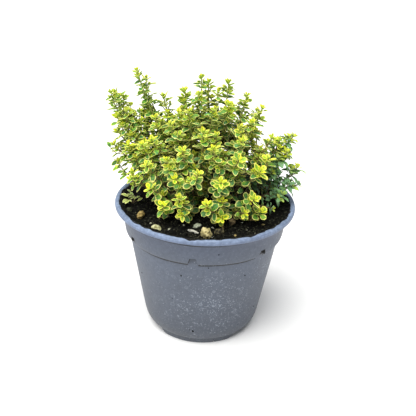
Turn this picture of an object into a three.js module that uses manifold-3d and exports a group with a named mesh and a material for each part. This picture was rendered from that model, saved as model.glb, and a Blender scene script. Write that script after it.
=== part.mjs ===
// A pot of variegated lemon thyme: a plastic nursery pot, its filled soil, small stones and bark on the
// soil, and the leafy stems that stand in holes in it. Millimetres, +Z up. The origin is on the pot's axis
// at floor level, and -Y is the front.
import * as THREE from "three";
import { mergeVertices } from "three/addons/utils/BufferGeometryUtils.js";
import Module from "manifold-3d";

const wasm = await Module();
wasm.setup();

// Driving dimensions of the pot
const RIM_RADIUS = 65;
const POT_HEIGHT = 100;
const WALL = 1.4;
const LIP_HEIGHT = 4.9;
const COLLAR_TOP_RADIUS = 60;
const COLLAR_RADIUS = 58.2;
const COLLAR_BOTTOM = 78.4;
const WALL_TOP = 75.8;
const WALL_TOP_RADIUS = 54.8;
const WALL_BOTTOM = 12;
const WALL_BOTTOM_RADIUS = 43.4;
const CORNER_RADIUS = 41.4;
const CORNER_HEIGHT = 6.6;
const BASE_RADIUS = 38.4;
const BASE_HEIGHT = 4;
const FLOOR_THICKNESS = 1.6;
const POT_SIDES = 32;
// Points this close to the plane of the faces round them are joined
const FLAT_ENOUGH = 0.02;

// Foot lobes under the base, and drain holes between them
const LOBE_COUNT = 3;
const LOBE_ARC = 82;
const LOBE_MIDDLE = -5;
const LOBE_INNER_RADIUS = 33;
const LOBE_OUTER_RADIUS = 38;
const DRAIN_COUNT = 6;
const DRAIN_RADIUS = 1.9;
const DRAIN_CIRCLE = 27;
const DRAIN_SIDES = 6;
const DRAIN_CUT = 6;

// Notches in the ledge under the collar
const NOTCH_COUNT = 7;
const NOTCH_FIRST = -6.5;
const NOTCH_BOTTOM_WIDTH = 7.6;
const NOTCH_TOP_WIDTH = 4;
const NOTCH_TOP = 82;
const NOTCH_DEPTH = 2.6;
const NOTCH_REACH = 8;

// Soil, and what lies on it
const SOIL_GAP = 0.3;
const SOIL_EDGE_HEIGHT = 94.6;
const SOIL_MOUND = 1.8;
const SOIL_RADIUS = COLLAR_TOP_RADIUS - WALL - SOIL_GAP - 0.15;
const CROWN_RADIUS = 27;
const STONE_GAP = 0.35;
const STONE_RISE = 0.42;
// Each loose piece on the soil: its middle, its half sizes along its own axes, its turn in degrees, and how
// finely it is faceted
const STONES = [
  { name: "pumice_lump", at: [1.9, -50.2], half: [3.4, 3.6, 3.6], turn: 20, seed: 3, detail: 1 },
  { name: "dark_stone", at: [10.2, -44.5], half: [3.2, 2.8, 2.8], turn: 70, seed: 7, detail: 0 },
  { name: "bark_sliver", at: [-7, -45.8], half: [4.2, 1.3, 1.2], turn: -28, seed: 11, detail: 0 },
  { name: "perlite_lump", at: [-4.5, -38.8], half: [2.6, 1.9, 1.8], turn: 25, seed: 13, detail: 0 },
  { name: "pale_stone", at: [-32, -42], half: [3.4, 2.5, 2.4], turn: -35, seed: 17, detail: 0 },
  { name: "ochre_lump", at: [-44.1, -25.7], half: [2.4, 3.4, 2.6], turn: -25, seed: 19, detail: 0 },
  { name: "mossy_lump", at: [-53, -16.8], half: [2.4, 2.4, 2.2], turn: 10, seed: 23, detail: 0 },
  { name: "tan_stone", at: [33, -26], half: [3.2, 2, 2], turn: 15, seed: 29, detail: 0 },
  { name: "brown_stone", at: [19, -31.4], half: [2.6, 2.4, 2.4], turn: 50, seed: 31, detail: 0 },
];

// Leafy stems
const STEM_SIDES = 4;
const FOOT_DEPTH = 9;
const FOOT_RING = 13;
const HOLE_GAP = 0.45;
const LEADER_RADIUS = 0.95;
const BRANCH_RADIUS = 0.72;
const TIP_RADIUS = 0.58;
const TIP_SHARE = 0.22;
const BUD_LENGTH = 1.8;
const BAND_HEIGHT = 1.4;
const LONGEST_STEP = 25;
const CLEAR_OF_OTHERS = 0.25;
const CLEAR_OF_OWN = 0.12;
const CLEAR_OF_SOIL = 1;
const CLEAR_OF_STONES = 6;
const STONE_REACH = 5;
const CLEAR_OF_RIM = 0.5;
const CROWN_SPREAD = 0.36;
const SEED = 1207;

// How often a stem is tried again, and how far its foot and tips then give way, in mm a try
const MOST_TRIES = 160;
const TIP_NUDGE = 0.05;
const FOOT_NUDGE = 0.06;

// The tip of each leader in mm, then the tips of its side shoots. Front and sides follow the plant seen.
const VARIEGATED = [
  [[-50, 8, 190], [-44, 13, 183]],
  [[-65, 5, 175], [-62, -2, 160]],
  [[-63, 2, 148], [-54, -12, 143]],
  [[-32, 10, 172], [-46, 14, 163]],
  [[-17, 4, 178], [-20, -13, 168]],
  [[-6, 15, 185], [-7, -2, 178]],
  [[-1, 22, 180], [6, 12, 176]],
  [[13, 16, 182], [13, -9, 174]],
  [[26, 14, 174], [34, 24, 160]],
  [[37, 10, 166], [30, -4, 160]],
  [[44, -10, 152], [50, 0, 147]],
  [[60, 6, 148], [55, -4, 140]],
  [[-36, -8, 162], [-28, -4, 165]],
  [[-13, -17, 170], [4, -14, 172]],
  [[-25, -20, 162]],
  [[-3, -30, 161], [6, -26, 158]],
  [[-37, -22, 151], [-44, -18, 146]],
  [[22, -22, 163], [23, -29, 156]],
  [[-16, -35, 149], [-26, -36, 143]],
  [[-40, -30, 136], [-50, -22, 127]],
  [[-20, -41, 132], [-5, -43, 137]],
  [[21, -36, 145], [4, -36, 152]],
  [[36, -32, 136], [41, -24, 142]],
  [[10, -44, 132], [11, -42, 118]],
  [[33, -38, 118], [38, -33, 107]],
  [[-37, -36, 122], [-28, -40, 112]],
  [[-15, -44, 107], [-17, -44, 120]],
  [[12, -45, 106], [1, -46, 117]],
  [[27, -39, 108]],
  [[-55, -16, 116], [-62, 0, 126]],
  [[-66, 2, 138]],
];
const GREEN = [
  [[58, 4, 136], [64, 0, 127]],
  [[66, -3, 115], [54, -14, 112]],
  [[47, -22, 104]],
];
const SEEDLING_FOOT = [-52, -6];
const SEEDLING_TIP = [-56, -4, 104];

// The back of the plant, which the front hides, is the same dome filled by rule.
const BACK_STEMS = 10;
const BACK_TIPS = 2;
const DOME = { middle: [0, 4, 100], half: [60, 52, 80] };
const GOLDEN_TURN = 137.508;

// Leaf sets by rank from the tip down: how far below the tip, blade length and width, and rise in degrees
const VARIEGATED_RANKS = [
  { below: 0, length: 5.4, width: 3.3, rise: 58 },
  { below: 4, length: 6.8, width: 4.8, rise: 36 },
  { below: 11, length: 7.6, width: 5.2, rise: 22 },
  { below: 20.5, length: 7.8, width: 5.2, rise: 14 },
];
const GREEN_RANKS = [
  { below: 0, length: 5.6, width: 2.4, rise: 60 },
  { below: 4, length: 7.4, width: 3.1, rise: 42 },
  { below: 10, length: 8, width: 3.4, rise: 28 },
  { below: 17.5, length: 8, width: 3.4, rise: 18 },
];
const SIDE_SHOOT_RANKS = 2;
const SIDE_SHOOT_FIRST_RING = 1.6;
const SMALLER_PAIR = 0.8;

// A blade is widest at this share of its length, where it is humped, and its blunt tip droops, in mm
const WIDEST_SHARE = 0.52;
const BLADE_HUMP = 0.1;
const BLADE_DROOP = 0.2;

const UP = new THREE.Vector3(0, 0, 1);
const radians = THREE.MathUtils.degToRad;

// A repeatable stream of numbers from 0 to 1
function seededRandom(seed) {
  let state = seed >>> 0;
  return () => {
    state = (state + 0x6d2b79f5) >>> 0;
    let mixed = state;
    mixed = Math.imul(mixed ^ (mixed >>> 15), mixed | 1);
    mixed ^= mixed + Math.imul(mixed ^ (mixed >>> 7), mixed | 61);
    return ((mixed ^ (mixed >>> 14)) >>> 0) / 4294967296;
  };
}

// Solids from closed geometries, and back
function solidFrom(geometry) {
  const bare = geometry.clone();
  bare.deleteAttribute("normal");
  bare.deleteAttribute("uv");
  const merged = mergeVertices(bare, 1e-4);
  return new wasm.Manifold(
    new wasm.Mesh({
      numProp: 3,
      vertProperties: merged.attributes.position.array,
      triVerts: new Uint32Array(merged.index.array),
    }),
  );
}

function geometryFrom(solid) {
  const mesh = solid.getMesh();
  const geometry = new THREE.BufferGeometry();
  geometry.setAttribute("position", new THREE.BufferAttribute(new Float32Array(mesh.vertProperties), 3));
  geometry.setIndex(new THREE.BufferAttribute(new Uint32Array(mesh.triVerts), 1));
  geometry.computeVertexNormals();
  return geometry;
}

function geometryOf(points, triangles) {
  const geometry = new THREE.BufferGeometry();
  const flat = points.flatMap((point) => [point.x, point.y, point.z]);
  geometry.setAttribute("position", new THREE.Float32BufferAttribute(flat, 3));
  geometry.setIndex(triangles.flat());
  return geometry;
}

// A lathe turned to stand on +Z, from a profile of [radius, height]
function turned(profile) {
  const points = profile.map(([radius, height]) => new THREE.Vector2(radius, height));
  return new THREE.LatheGeometry(points, POT_SIDES).rotateX(Math.PI / 2);
}

// The angle is measured from the front (-Y) towards +X, as seen from above
function around(degrees, radius, height) {
  const angle = radians(degrees);
  return new THREE.Vector3(radius * Math.sin(angle), -radius * Math.cos(angle), height);
}

// Pot: wall with a rolled lip, a collar band over a ledge, a rounded base corner and a floor
function potShell() {
  const lipBottom = POT_HEIGHT - LIP_HEIGHT;
  const outside = [
    [0, BASE_HEIGHT],
    [LOBE_INNER_RADIUS, BASE_HEIGHT],
    [BASE_RADIUS, BASE_HEIGHT],
    [CORNER_RADIUS, CORNER_HEIGHT],
    [WALL_BOTTOM_RADIUS, WALL_BOTTOM],
    [WALL_TOP_RADIUS, WALL_TOP],
    [COLLAR_RADIUS, COLLAR_BOTTOM],
    [COLLAR_TOP_RADIUS, lipBottom - 0.4],
    [RIM_RADIUS - 1.2, lipBottom],
    [RIM_RADIUS, lipBottom + 1.4],
    [RIM_RADIUS, POT_HEIGHT - 1.5],
    [RIM_RADIUS - 1.5, POT_HEIGHT],
  ];
  const inside = [
    [RIM_RADIUS - 3.6, POT_HEIGHT - 0.4],
    [COLLAR_TOP_RADIUS - WALL, lipBottom - 1],
    [COLLAR_RADIUS - WALL, COLLAR_BOTTOM + 0.9],
    [WALL_TOP_RADIUS - WALL, WALL_TOP + 0.7],
    [WALL_BOTTOM_RADIUS - WALL, WALL_BOTTOM],
    [BASE_RADIUS - 0.4, BASE_HEIGHT + FLOOR_THICKNESS],
    [0, BASE_HEIGHT + FLOOR_THICKNESS],
  ];
  return solidFrom(turned([...outside, ...inside]));
}

// One foot lobe: an arc of wall that carries the pot, its outer face in line with the base corner
function footLobe(middle) {
  const rim = [];
  const steps = 6;
  for (let step = 0; step <= steps; step++) {
    const angle = middle - LOBE_ARC / 2 + (LOBE_ARC * step) / steps;
    rim.push(around(angle, LOBE_OUTER_RADIUS, 0));
  }
  for (let step = steps; step >= 0; step--) {
    const angle = middle - LOBE_ARC / 2 + (LOBE_ARC * step) / steps;
    rim.push(around(angle, LOBE_INNER_RADIUS, 0));
  }
  const outline = new THREE.Shape(rim.map((point) => new THREE.Vector2(point.x, point.y)));
  const depth = BASE_HEIGHT + FLOOR_THICKNESS / 2;
  return solidFrom(new THREE.ExtrudeGeometry(outline, { depth, bevelEnabled: false }));
}

// One notch cutter: a trapezium, wider at the ledge, pushed in through the collar
function notchCutter(angle) {
  const low = WALL_TOP - 1.5;
  const outline = new THREE.Shape([
    new THREE.Vector2(-NOTCH_BOTTOM_WIDTH / 2, low),
    new THREE.Vector2(NOTCH_BOTTOM_WIDTH / 2, low),
    new THREE.Vector2(NOTCH_TOP_WIDTH / 2, NOTCH_TOP),
    new THREE.Vector2(-NOTCH_TOP_WIDTH / 2, NOTCH_TOP),
  ]);
  const block = new THREE.ExtrudeGeometry(outline, { depth: NOTCH_REACH, bevelEnabled: false });
  block.rotateX(Math.PI / 2);
  block.translate(0, -(COLLAR_RADIUS - NOTCH_DEPTH), 0);
  block.rotateZ(radians(angle));
  return solidFrom(block);
}

function drainCutter(angle) {
  const hole = new THREE.CylinderGeometry(DRAIN_RADIUS, DRAIN_RADIUS, DRAIN_CUT, DRAIN_SIDES);
  hole.rotateX(Math.PI / 2);
  const place = around(angle, DRAIN_CIRCLE, BASE_HEIGHT);
  return solidFrom(hole.translate(place.x, place.y, place.z));
}

function potSolid() {
  let pot = potShell();
  for (let index = 0; index < LOBE_COUNT; index++) {
    pot = pot.add(footLobe(LOBE_MIDDLE + (360 / LOBE_COUNT) * index));
  }
  for (let index = 0; index < NOTCH_COUNT; index++) {
    pot = pot.subtract(notchCutter(NOTCH_FIRST + (360 / NOTCH_COUNT) * index));
  }
  for (let index = 0; index < DRAIN_COUNT; index++) {
    pot = pot.subtract(drainCutter(LOBE_MIDDLE + (360 / DRAIN_COUNT) * (index + 0.5)));
  }
  return pot.simplify(FLAT_ENOUGH);
}

// Height of the soil: a low flat-topped mound that carries the stems, with clods round it
function soilHeight(x, y) {
  const beyond = (Math.hypot(x, y) - CROWN_RADIUS) / (SOIL_RADIUS - CROWN_RADIUS);
  const outward = THREE.MathUtils.clamp(beyond, 0, 1);
  const mound = SOIL_MOUND * (1 - outward * outward);
  const clods = 0.9 * Math.sin(x * 0.31 + 1.1) * Math.cos(y * 0.27 - 0.6) + 0.6 * Math.sin((x - y) * 0.53);
  return SOIL_EDGE_HEIGHT + mound + clods * Math.min(1, outward * 2.5);
}

// Soil: fills the pot, with a plain hole for each stem and a dent for each stone
function soilSolid(holes, dents) {
  const inner = WALL + SOIL_GAP;
  const profile = [
    [0, BASE_HEIGHT + FLOOR_THICKNESS + SOIL_GAP],
    [BASE_RADIUS - 1, BASE_HEIGHT + FLOOR_THICKNESS + SOIL_GAP],
    [WALL_BOTTOM_RADIUS - inner, WALL_BOTTOM + 0.3],
    [WALL_TOP_RADIUS - inner, WALL_TOP + 0.9],
    [COLLAR_RADIUS - inner, COLLAR_BOTTOM + 1.1],
    [SOIL_RADIUS, SOIL_EDGE_HEIGHT],
    [SOIL_RADIUS - 13, SOIL_EDGE_HEIGHT],
    [CROWN_RADIUS, SOIL_EDGE_HEIGHT],
    [0, SOIL_EDGE_HEIGHT],
  ];
  const body = turned(profile);
  const position = body.attributes.position;
  for (let index = 0; index < position.count; index++) {
    if (position.getZ(index) < SOIL_EDGE_HEIGHT - 1) continue;
    const x = Math.abs(position.getX(index)) < 1e-4 ? 0 : position.getX(index);
    const y = Math.abs(position.getY(index)) < 1e-4 ? 0 : position.getY(index);
    position.setZ(index, soilHeight(x, y));
  }
  return wasm.Manifold.difference([solidFrom(body), ...holes, ...dents]).simplify(FLAT_ENOUGH);
}

// A knobbly stone about its own middle, grown by a margin to make its dent
function stoneGeometry(stone, margin) {
  const random = seededRandom(stone.seed);
  const ball = new THREE.IcosahedronGeometry(1, stone.detail);
  ball.deleteAttribute("normal");
  ball.deleteAttribute("uv");
  const geometry = mergeVertices(ball, 1e-4);
  const position = geometry.attributes.position;
  for (let index = 0; index < position.count; index++) {
    const point = new THREE.Vector3().fromBufferAttribute(position, index);
    const knob = 0.8 + 0.2 * random();
    const grown = stone.half.map((half) => half * knob + margin);
    position.setXYZ(index, point.x * grown[0], point.y * grown[1], point.z * grown[2]);
  }
  const [x, y] = stone.at;
  const height = soilHeight(x, y) + stone.half[2] * STONE_RISE;
  return geometry.rotateZ(radians(stone.turn)).translate(x, y, height);
}

// A leader runs up from its foot in the soil and leans out to its tip
function leaderCurve(foot, tip, random) {
  const level = soilHeight(foot[0], foot[1]);
  const across = [tip[0] - foot[0], tip[1] - foot[1]];
  const climb = tip[2] - level;
  const lean = 0.05 + 0.2 * random();
  const late = 0.62 + 0.28 * random();
  const above = (share, height) =>
    new THREE.Vector3(foot[0] + share * across[0], foot[1] + share * across[1], level + height);
  return new THREE.CubicBezierCurve3(
    above(0, -FOOT_DEPTH),
    above(lean, Math.max(9, climb * 0.36)),
    above(late, Math.max(8, climb * 0.7)),
    new THREE.Vector3(...tip),
  );
}

// A side shoot leaves one side of its leader and turns up to its tip
function sideCurve(start, outward, along, tip) {
  const end = new THREE.Vector3(...tip);
  const reach = start.distanceTo(end);
  const leaving = start.clone().addScaledVector(outward, reach * 0.24).addScaledVector(along, reach * 0.2);
  const arriving = end.clone().addScaledVector(UP, -reach * 0.32).addScaledVector(outward, -reach * 0.06);
  return new THREE.CubicBezierCurve3(start, leaving, arriving, end);
}

// Bands along a shoot: one for each rank of leaves, and one for each fork, all apart from each other
function stemBands(total, ranks, forks, firstRing) {
  const bands = [];
  ranks.forEach((rank, index) => {
    const high = total - rank.below;
    if (high - BAND_HEIGHT > firstRing + 2) bands.push({ rank, index, low: high - BAND_HEIGHT, high });
  });
  for (const fork of forks) {
    let high = Math.max(fork.share * total, firstRing + 2 + BAND_HEIGHT);
    for (const band of bands) {
      if (Math.abs(band.high - high) < BAND_HEIGHT + 1.2) high = band.high - BAND_HEIGHT - 1.2;
    }
    bands.push({ fork, index: -1, low: high - BAND_HEIGHT, high });
  }
  return bands.sort((one, other) => one.low - other.low);
}

// The rings of a square stem: plain rings where it bends, and two for each band
function stemRings(curve, shape, random) {
  const total = curve.getLength();
  const stations = shape.firstSide ? [{ at: shape.firstRing }] : [{ at: 0 }, { at: shape.firstRing }];
  for (const band of stemBands(total, shape.ranks, shape.forks, shape.firstRing)) {
    const from = stations[stations.length - 1].at;
    const extra = Math.floor((band.low - from) / LONGEST_STEP);
    for (let step = 1; step <= extra; step++) {
      stations.push({ at: from + ((band.low - from) * step) / (extra + 1) });
    }
    stations.push({ at: band.low, band }, { at: band.high });
  }
  let turn = shape.firstSide ? 0 : random() * 90;
  let side = shape.firstSide ?? new THREE.Vector3(1, 0, 0);
  return stations.map((station) => {
    const share = station.at / total;
    const middle = curve.getPointAt(share);
    const ahead = curve.getTangentAt(share);
    side = side.clone().addScaledVector(ahead, -side.dot(ahead)).normalize();
    if (station.band) turn += 20 + 25 * random();
    const size = THREE.MathUtils.lerp(shape.radius, TIP_RADIUS, share);
    return { middle, ahead, side, turn, size, band: station.band };
  });
}

function ringCorners(ring) {
  const other = ring.ahead.clone().cross(ring.side);
  const corners = [];
  for (let index = 0; index < STEM_SIDES; index++) {
    const angle = radians(ring.turn + (360 / STEM_SIDES) * (index - 0.5));
    corners.push(
      ring.middle
        .clone()
        .addScaledVector(ring.side, ring.size * Math.cos(angle))
        .addScaledVector(other, ring.size * Math.sin(angle)),
    );
  }
  return corners;
}

// One side of a band: its four corners, its middle and the way it faces
function sideFace(low, high, side) {
  const next = (side + 1) % STEM_SIDES;
  const lowCorners = ringCorners(low);
  const highCorners = ringCorners(high);
  const root = [lowCorners[side], lowCorners[next], highCorners[next], highCorners[side]];
  const start = root.reduce((sum, point) => sum.add(point), new THREE.Vector3()).divideScalar(4);
  const inside = low.middle.clone().add(high.middle).multiplyScalar(0.5);
  return { root, start, outward: start.clone().sub(inside).normalize() };
}

// The points of a blade that grows from one side of a band: its root face, middle and blunt tip
function bladePoints(low, high, side, shape) {
  const { root, start, outward } = sideFace(low, high, side);
  outward.applyAxisAngle(low.ahead, radians(shape.swing));
  const across = low.ahead.clone().cross(outward).normalize();
  const rise = radians(shape.rise);
  const along = outward.clone().multiplyScalar(Math.cos(rise)).addScaledVector(low.ahead, Math.sin(rise));
  const above = along.clone().cross(across).normalize();
  const place = (forward, sideways, up) => {
    const point = start.clone().addScaledVector(along, forward);
    return point.addScaledVector(across, sideways).addScaledVector(above, up);
  };
  const { length, width } = shape;
  return [
    ...root,
    place(length * WIDEST_SHARE, width / 2, BLADE_HUMP),
    place(length, width * TIP_SHARE, -BLADE_DROOP),
    place(length, -width * TIP_SHARE, -BLADE_DROOP),
    place(length * WIDEST_SHARE, -width / 2, BLADE_HUMP),
  ];
}

// Faces between a blade's points: the first four are its root, then its right, two tips and left
const BLADE_FACES = [
  [1, 2, 4], [3, 0, 7],
  [2, 3, 6], [2, 6, 5], [2, 5, 4], [3, 7, 6],
  [1, 5, 0], [0, 5, 6], [1, 4, 5], [0, 6, 7],
];
const ROOT_FACES = [[0, 2, 1], [0, 3, 2]];

// Adds a shoot's sides to a plant stem's surface, with its blades, its bud and the shoots that leave it
function addShoot(surface, shoot, foot) {
  const { points, faces } = surface;
  const numbers = foot ? [foot] : [];
  for (const ring of shoot.rings) {
    numbers.push(ringCorners(ring).map((point) => points.push(point) - 1));
  }
  if (!foot) faces.push([0, 3, 2], [0, 2, 1]);
  const offset = foot ? 1 : 0;
  for (let index = 0; index < numbers.length - 1; index++) {
    for (let side = 0; side < STEM_SIDES; side++) {
      const next = (side + 1) % STEM_SIDES;
      const [low, high] = [numbers[index], numbers[index + 1]];
      const root = [low[side], low[next], high[next], high[side]];
      const here = (one) => one.ring === index - offset && one.side === side;
      const blade = shoot.blades.find(here);
      const fork = shoot.branches.find(here);
      if (fork) {
        addShoot(surface, fork.shoot, root);
      } else if (blade) {
        const corners = [...root, ...blade.points.slice(4).map((point) => points.push(point) - 1)];
        faces.push(...BLADE_FACES.map((face) => face.map((corner) => corners[corner])));
      } else {
        faces.push([root[0], root[1], root[2]], [root[0], root[2], root[3]]);
      }
    }
  }
  const last = shoot.rings[shoot.rings.length - 1];
  const top = numbers[numbers.length - 1];
  const bud = points.push(last.middle.clone().addScaledVector(last.ahead, BUD_LENGTH)) - 1;
  for (let side = 0; side < STEM_SIDES; side++) {
    faces.push([top[side], top[(side + 1) % STEM_SIDES], bud]);
  }
}

function stemSolid(leader) {
  const surface = { points: [], faces: [] };
  addShoot(surface, leader, null);
  return solidFrom(geometryOf(surface.points, surface.faces));
}

// What is already in place, as small solids with a ball round each, so that nothing is grown through it
const placed = [];

function ballOf(points) {
  return new THREE.Box3().setFromPoints(points).getBoundingSphere(new THREE.Sphere());
}

function segmentSolids(shoot) {
  return shoot.rings.slice(0, -1).map((ring, index) => {
    const points = [...ringCorners(ring), ...ringCorners(shoot.rings[index + 1])];
    const faces = [[0, 3, 2], [0, 2, 1], [4, 5, 6], [4, 6, 7]];
    for (let side = 0; side < STEM_SIDES; side++) {
      const next = (side + 1) % STEM_SIDES;
      faces.push([side, next, next + 4], [side, next + 4, side + 4]);
    }
    return { solid: solidFrom(geometryOf(points, faces)), ball: ballOf(points), shoot, band: index };
  });
}

function isClear(item, others, gapTo) {
  return others.every((other) => {
    const gap = gapTo(other);
    if (gap === 0) return true;
    const reach = item.ball.radius + other.ball.radius + gap;
    if (item.ball.center.distanceTo(other.ball.center) > reach) return true;
    return item.solid.minGap(other.solid, gap * 2) >= gap;
  });
}

// Leaves stay off the soil, the stones and the pot's lip
function clearsPot(points) {
  return points.every((point) => {
    const radius = Math.hypot(point.x, point.y);
    if (radius > COLLAR_TOP_RADIUS - WALL - 1) return point.z > POT_HEIGHT + CLEAR_OF_RIM;
    const near = STONES.some(({ at }) => Math.hypot(point.x - at[0], point.y - at[1]) < STONE_REACH);
    return point.z > soilHeight(point.x, point.y) + (near ? CLEAR_OF_STONES : CLEAR_OF_SOIL);
  });
}

// A leader with its side shoots makes one plant stem, tried again until it clears the others and itself
function makeShoot(stem, curve, shape, random) {
  const shoot = { stem, curve, rings: stemRings(curve, shape, random), blades: [], branches: [] };
  shoot.segments = segmentSolids(shoot);
  return shoot;
}

function segmentsClear(segments, others, gap) {
  return segments.every((segment) => isClear(segment, others, () => gap));
}

function makeLeader(stem, tip, tries, random) {
  const stray = 1.5 + tries * FOOT_NUDGE;
  const foot = stem.foot ?? [
    CROWN_SPREAD * tip[0] + stray * (2 * random() - 1),
    CROWN_SPREAD * tip[1] + stray * (2 * random() - 1),
  ];
  const base = soilHeight(...foot);
  const forks = stem.tips.slice(1).map((end) => {
    const climb = (end[2] - base) / (tip[2] - base);
    return { end, share: THREE.MathUtils.clamp(climb * (0.4 + 0.3 * random()), 0.25, 0.75) };
  });
  const shape = { radius: LEADER_RADIUS, ranks: stem.ranks, forks, firstRing: FOOT_RING };
  return makeShoot(stem, leaderCurve(foot, tip, random), shape, random);
}

// The side of the leader's fork band that faces the side shoot's tip carries it
function makeBranch(stem, leader, ring, nudge, random) {
  const low = leader.rings[ring];
  const tip = low.band.fork.end.map((value) => value + nudge * (2 * random() - 1));
  const towards = new THREE.Vector3(...tip).sub(low.middle);
  const faces = [0, 1, 2, 3].map((side) => ({ side, ...sideFace(low, leader.rings[ring + 1], side) }));
  faces.sort((one, other) => other.outward.dot(towards) - one.outward.dot(towards));
  const { side, start, outward } = faces[0];
  const shape = {
    radius: BRANCH_RADIUS,
    ranks: stem.ranks.slice(0, SIDE_SHOOT_RANKS),
    forks: [],
    firstRing: SIDE_SHOOT_FIRST_RING,
    firstSide: low.ahead.clone().negate(),
  };
  return { ring, side, shoot: makeShoot(stem, sideCurve(start, outward, low.ahead, tip), shape, random) };
}

function growStem(stem) {
  const random = seededRandom(SEED + stem.number * 97);
  for (let tries = 0; tries < MOST_TRIES; tries++) {
    const nudge = tries * TIP_NUDGE;
    const tip = stem.tips[0].map((value) => value + nudge * (2 * random() - 1));
    const leader = makeLeader(stem, tip, tries, random);
    if (!segmentsClear(leader.segments, placed, CLEAR_OF_OTHERS * 2)) continue;
    const own = [...leader.segments];
    for (let ring = 0; ring < leader.rings.length; ring++) {
      if (!leader.rings[ring].band?.fork) continue;
      const branch = makeBranch(stem, leader, ring, nudge, random);
      const apart = own.filter((other) => other.shoot !== leader || Math.abs(other.band - ring) > 1);
      const segments = branch.shoot.segments;
      if (!segmentsClear(segments, placed, CLEAR_OF_OTHERS * 2)) break;
      if (!segmentsClear(segments, apart, CLEAR_OF_OTHERS)) break;
      leader.branches.push(branch);
      own.push(...segments);
    }
    if (leader.branches.length < stem.tips.length - 1) continue;
    placed.push(...own);
    stem.leader = leader;
    stem.shoots = [leader, ...leader.branches.map((branch) => branch.shoot)];
    return;
  }
  throw new Error("no clear way for the stem to " + stem.tips[0]);
}

// Blades are tried at full size first, then turned, lowered or smaller, and left off where none fits
const BLADE_TRIES = [
  { size: 1, lift: 0 }, { size: 1, lift: 14 }, { size: 1, lift: -12 },
  { size: 0.84, lift: 4 }, { size: 0.84, lift: -16 }, { size: 0.7, lift: 18 }, { size: 0.7, lift: -10 },
];

function growBlade(shoot, ringIndex, side, shape) {
  const low = shoot.rings[ringIndex];
  const high = shoot.rings[ringIndex + 1];
  for (const attempt of BLADE_TRIES) {
    const tried = {
      length: shape.length * attempt.size,
      width: shape.width * attempt.size,
      rise: shape.rise + attempt.lift,
      swing: shape.swing,
    };
    const points = bladePoints(low, high, side, tried);
    if (!clearsPot(points.slice(4))) continue;
    const solid = solidFrom(geometryOf(points, [...BLADE_FACES, ...ROOT_FACES]));
    const item = { solid, ball: ballOf(points), shoot, band: ringIndex, blade: true };
    const clear = isClear(item, placed, (other) => {
      if (other.shoot !== shoot) return other.shoot.stem === shoot.stem ? CLEAR_OF_OWN : CLEAR_OF_OTHERS;
      const own = other.blade ? other.band !== ringIndex : Math.abs(other.band - ringIndex) > 1;
      return own ? CLEAR_OF_OWN : 0;
    });
    if (clear) {
      placed.push(item);
      shoot.blades.push({ ring: ringIndex, side, points });
      return;
    }
    solid.delete();
  }
}

function growRank(shoot, rankIndex) {
  const ringIndex = shoot.rings.findIndex((ring) => ring.band && ring.band.index === rankIndex);
  if (ringIndex < 0) return;
  const { rank } = shoot.rings[ringIndex].band;
  const random = seededRandom(SEED * 3 + shoot.stem.number * 31 + rankIndex * 7 + shoot.order);
  for (let side = 0; side < STEM_SIDES; side++) {
    const firstPair = side % 2 === rankIndex % 2;
    const varied = 0.9 + 0.2 * random();
    const swing = 16 * (random() - 0.5);
    const jitter = 10 * (random() - 0.5);
    const size = varied * (firstPair ? 1 : SMALLER_PAIR);
    growBlade(shoot, ringIndex, side, {
      length: rank.length * size,
      width: rank.width * size,
      rise: rank.rise + jitter + (firstPair ? 0 : 8),
      swing,
    });
  }
}

// The back stems: tips spread over the hidden half of the dome by equal turns
function backStems() {
  const stems = [];
  for (let index = 0; index < BACK_STEMS; index++) {
    const random = seededRandom(SEED + 5000 + index);
    const tips = [];
    for (let branch = 0; branch < BACK_TIPS; branch++) {
      const bearing = 8 + ((index + 0.5) / BACK_STEMS) * 164 + branch * 9;
      const height = ((index * GOLDEN_TURN) / 360) % 1;
      const rise = radians(2 + 60 * height + branch * (height > 0.5 ? -17 : 15));
      const reach = 0.86 + 0.14 * random();
      tips.push([
        Math.round(DOME.middle[0] + reach * DOME.half[0] * Math.cos(radians(bearing)) * Math.cos(rise)),
        Math.round(DOME.middle[1] + reach * DOME.half[1] * Math.sin(radians(bearing)) * Math.cos(rise)),
        Math.round(DOME.middle[2] + reach * DOME.half[2] * Math.sin(rise)),
      ]);
    }
    stems.push(tips);
  }
  return stems;
}

// Materials, one for each thing the piece is made of
function material(color, roughness) {
  return new THREE.MeshStandardMaterial({ color, roughness, metalness: 0, side: THREE.DoubleSide });
}
const POT_COLOUR = 0x767e8c;
const SOIL_COLOUR = 0x1c1a15;
const VARIEGATED_COLOUR = 0xa9bf52;
const GREEN_COLOUR = 0x5c8046;
const STONE_COLOURS = {
  pumice_lump: 0xa8966a,
  dark_stone: 0x4a4638,
  bark_sliver: 0xc9c6ba,
  perlite_lump: 0xb9bfa8,
  pale_stone: 0xb4ad84,
  ochre_lump: 0x9c8452,
  mossy_lump: 0x3a3d2c,
  tan_stone: 0x8f7d52,
  brown_stone: 0x75654a,
};

function named(name, solid, finish) {
  const mesh = new THREE.Mesh(geometryFrom(solid), finish);
  mesh.name = name;
  return mesh;
}

function stemName(kind, number) {
  return kind + "_" + String(number).padStart(2, "0");
}

const plant = new THREE.Group();
plant.name = "potted_lemon_thyme";

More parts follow.
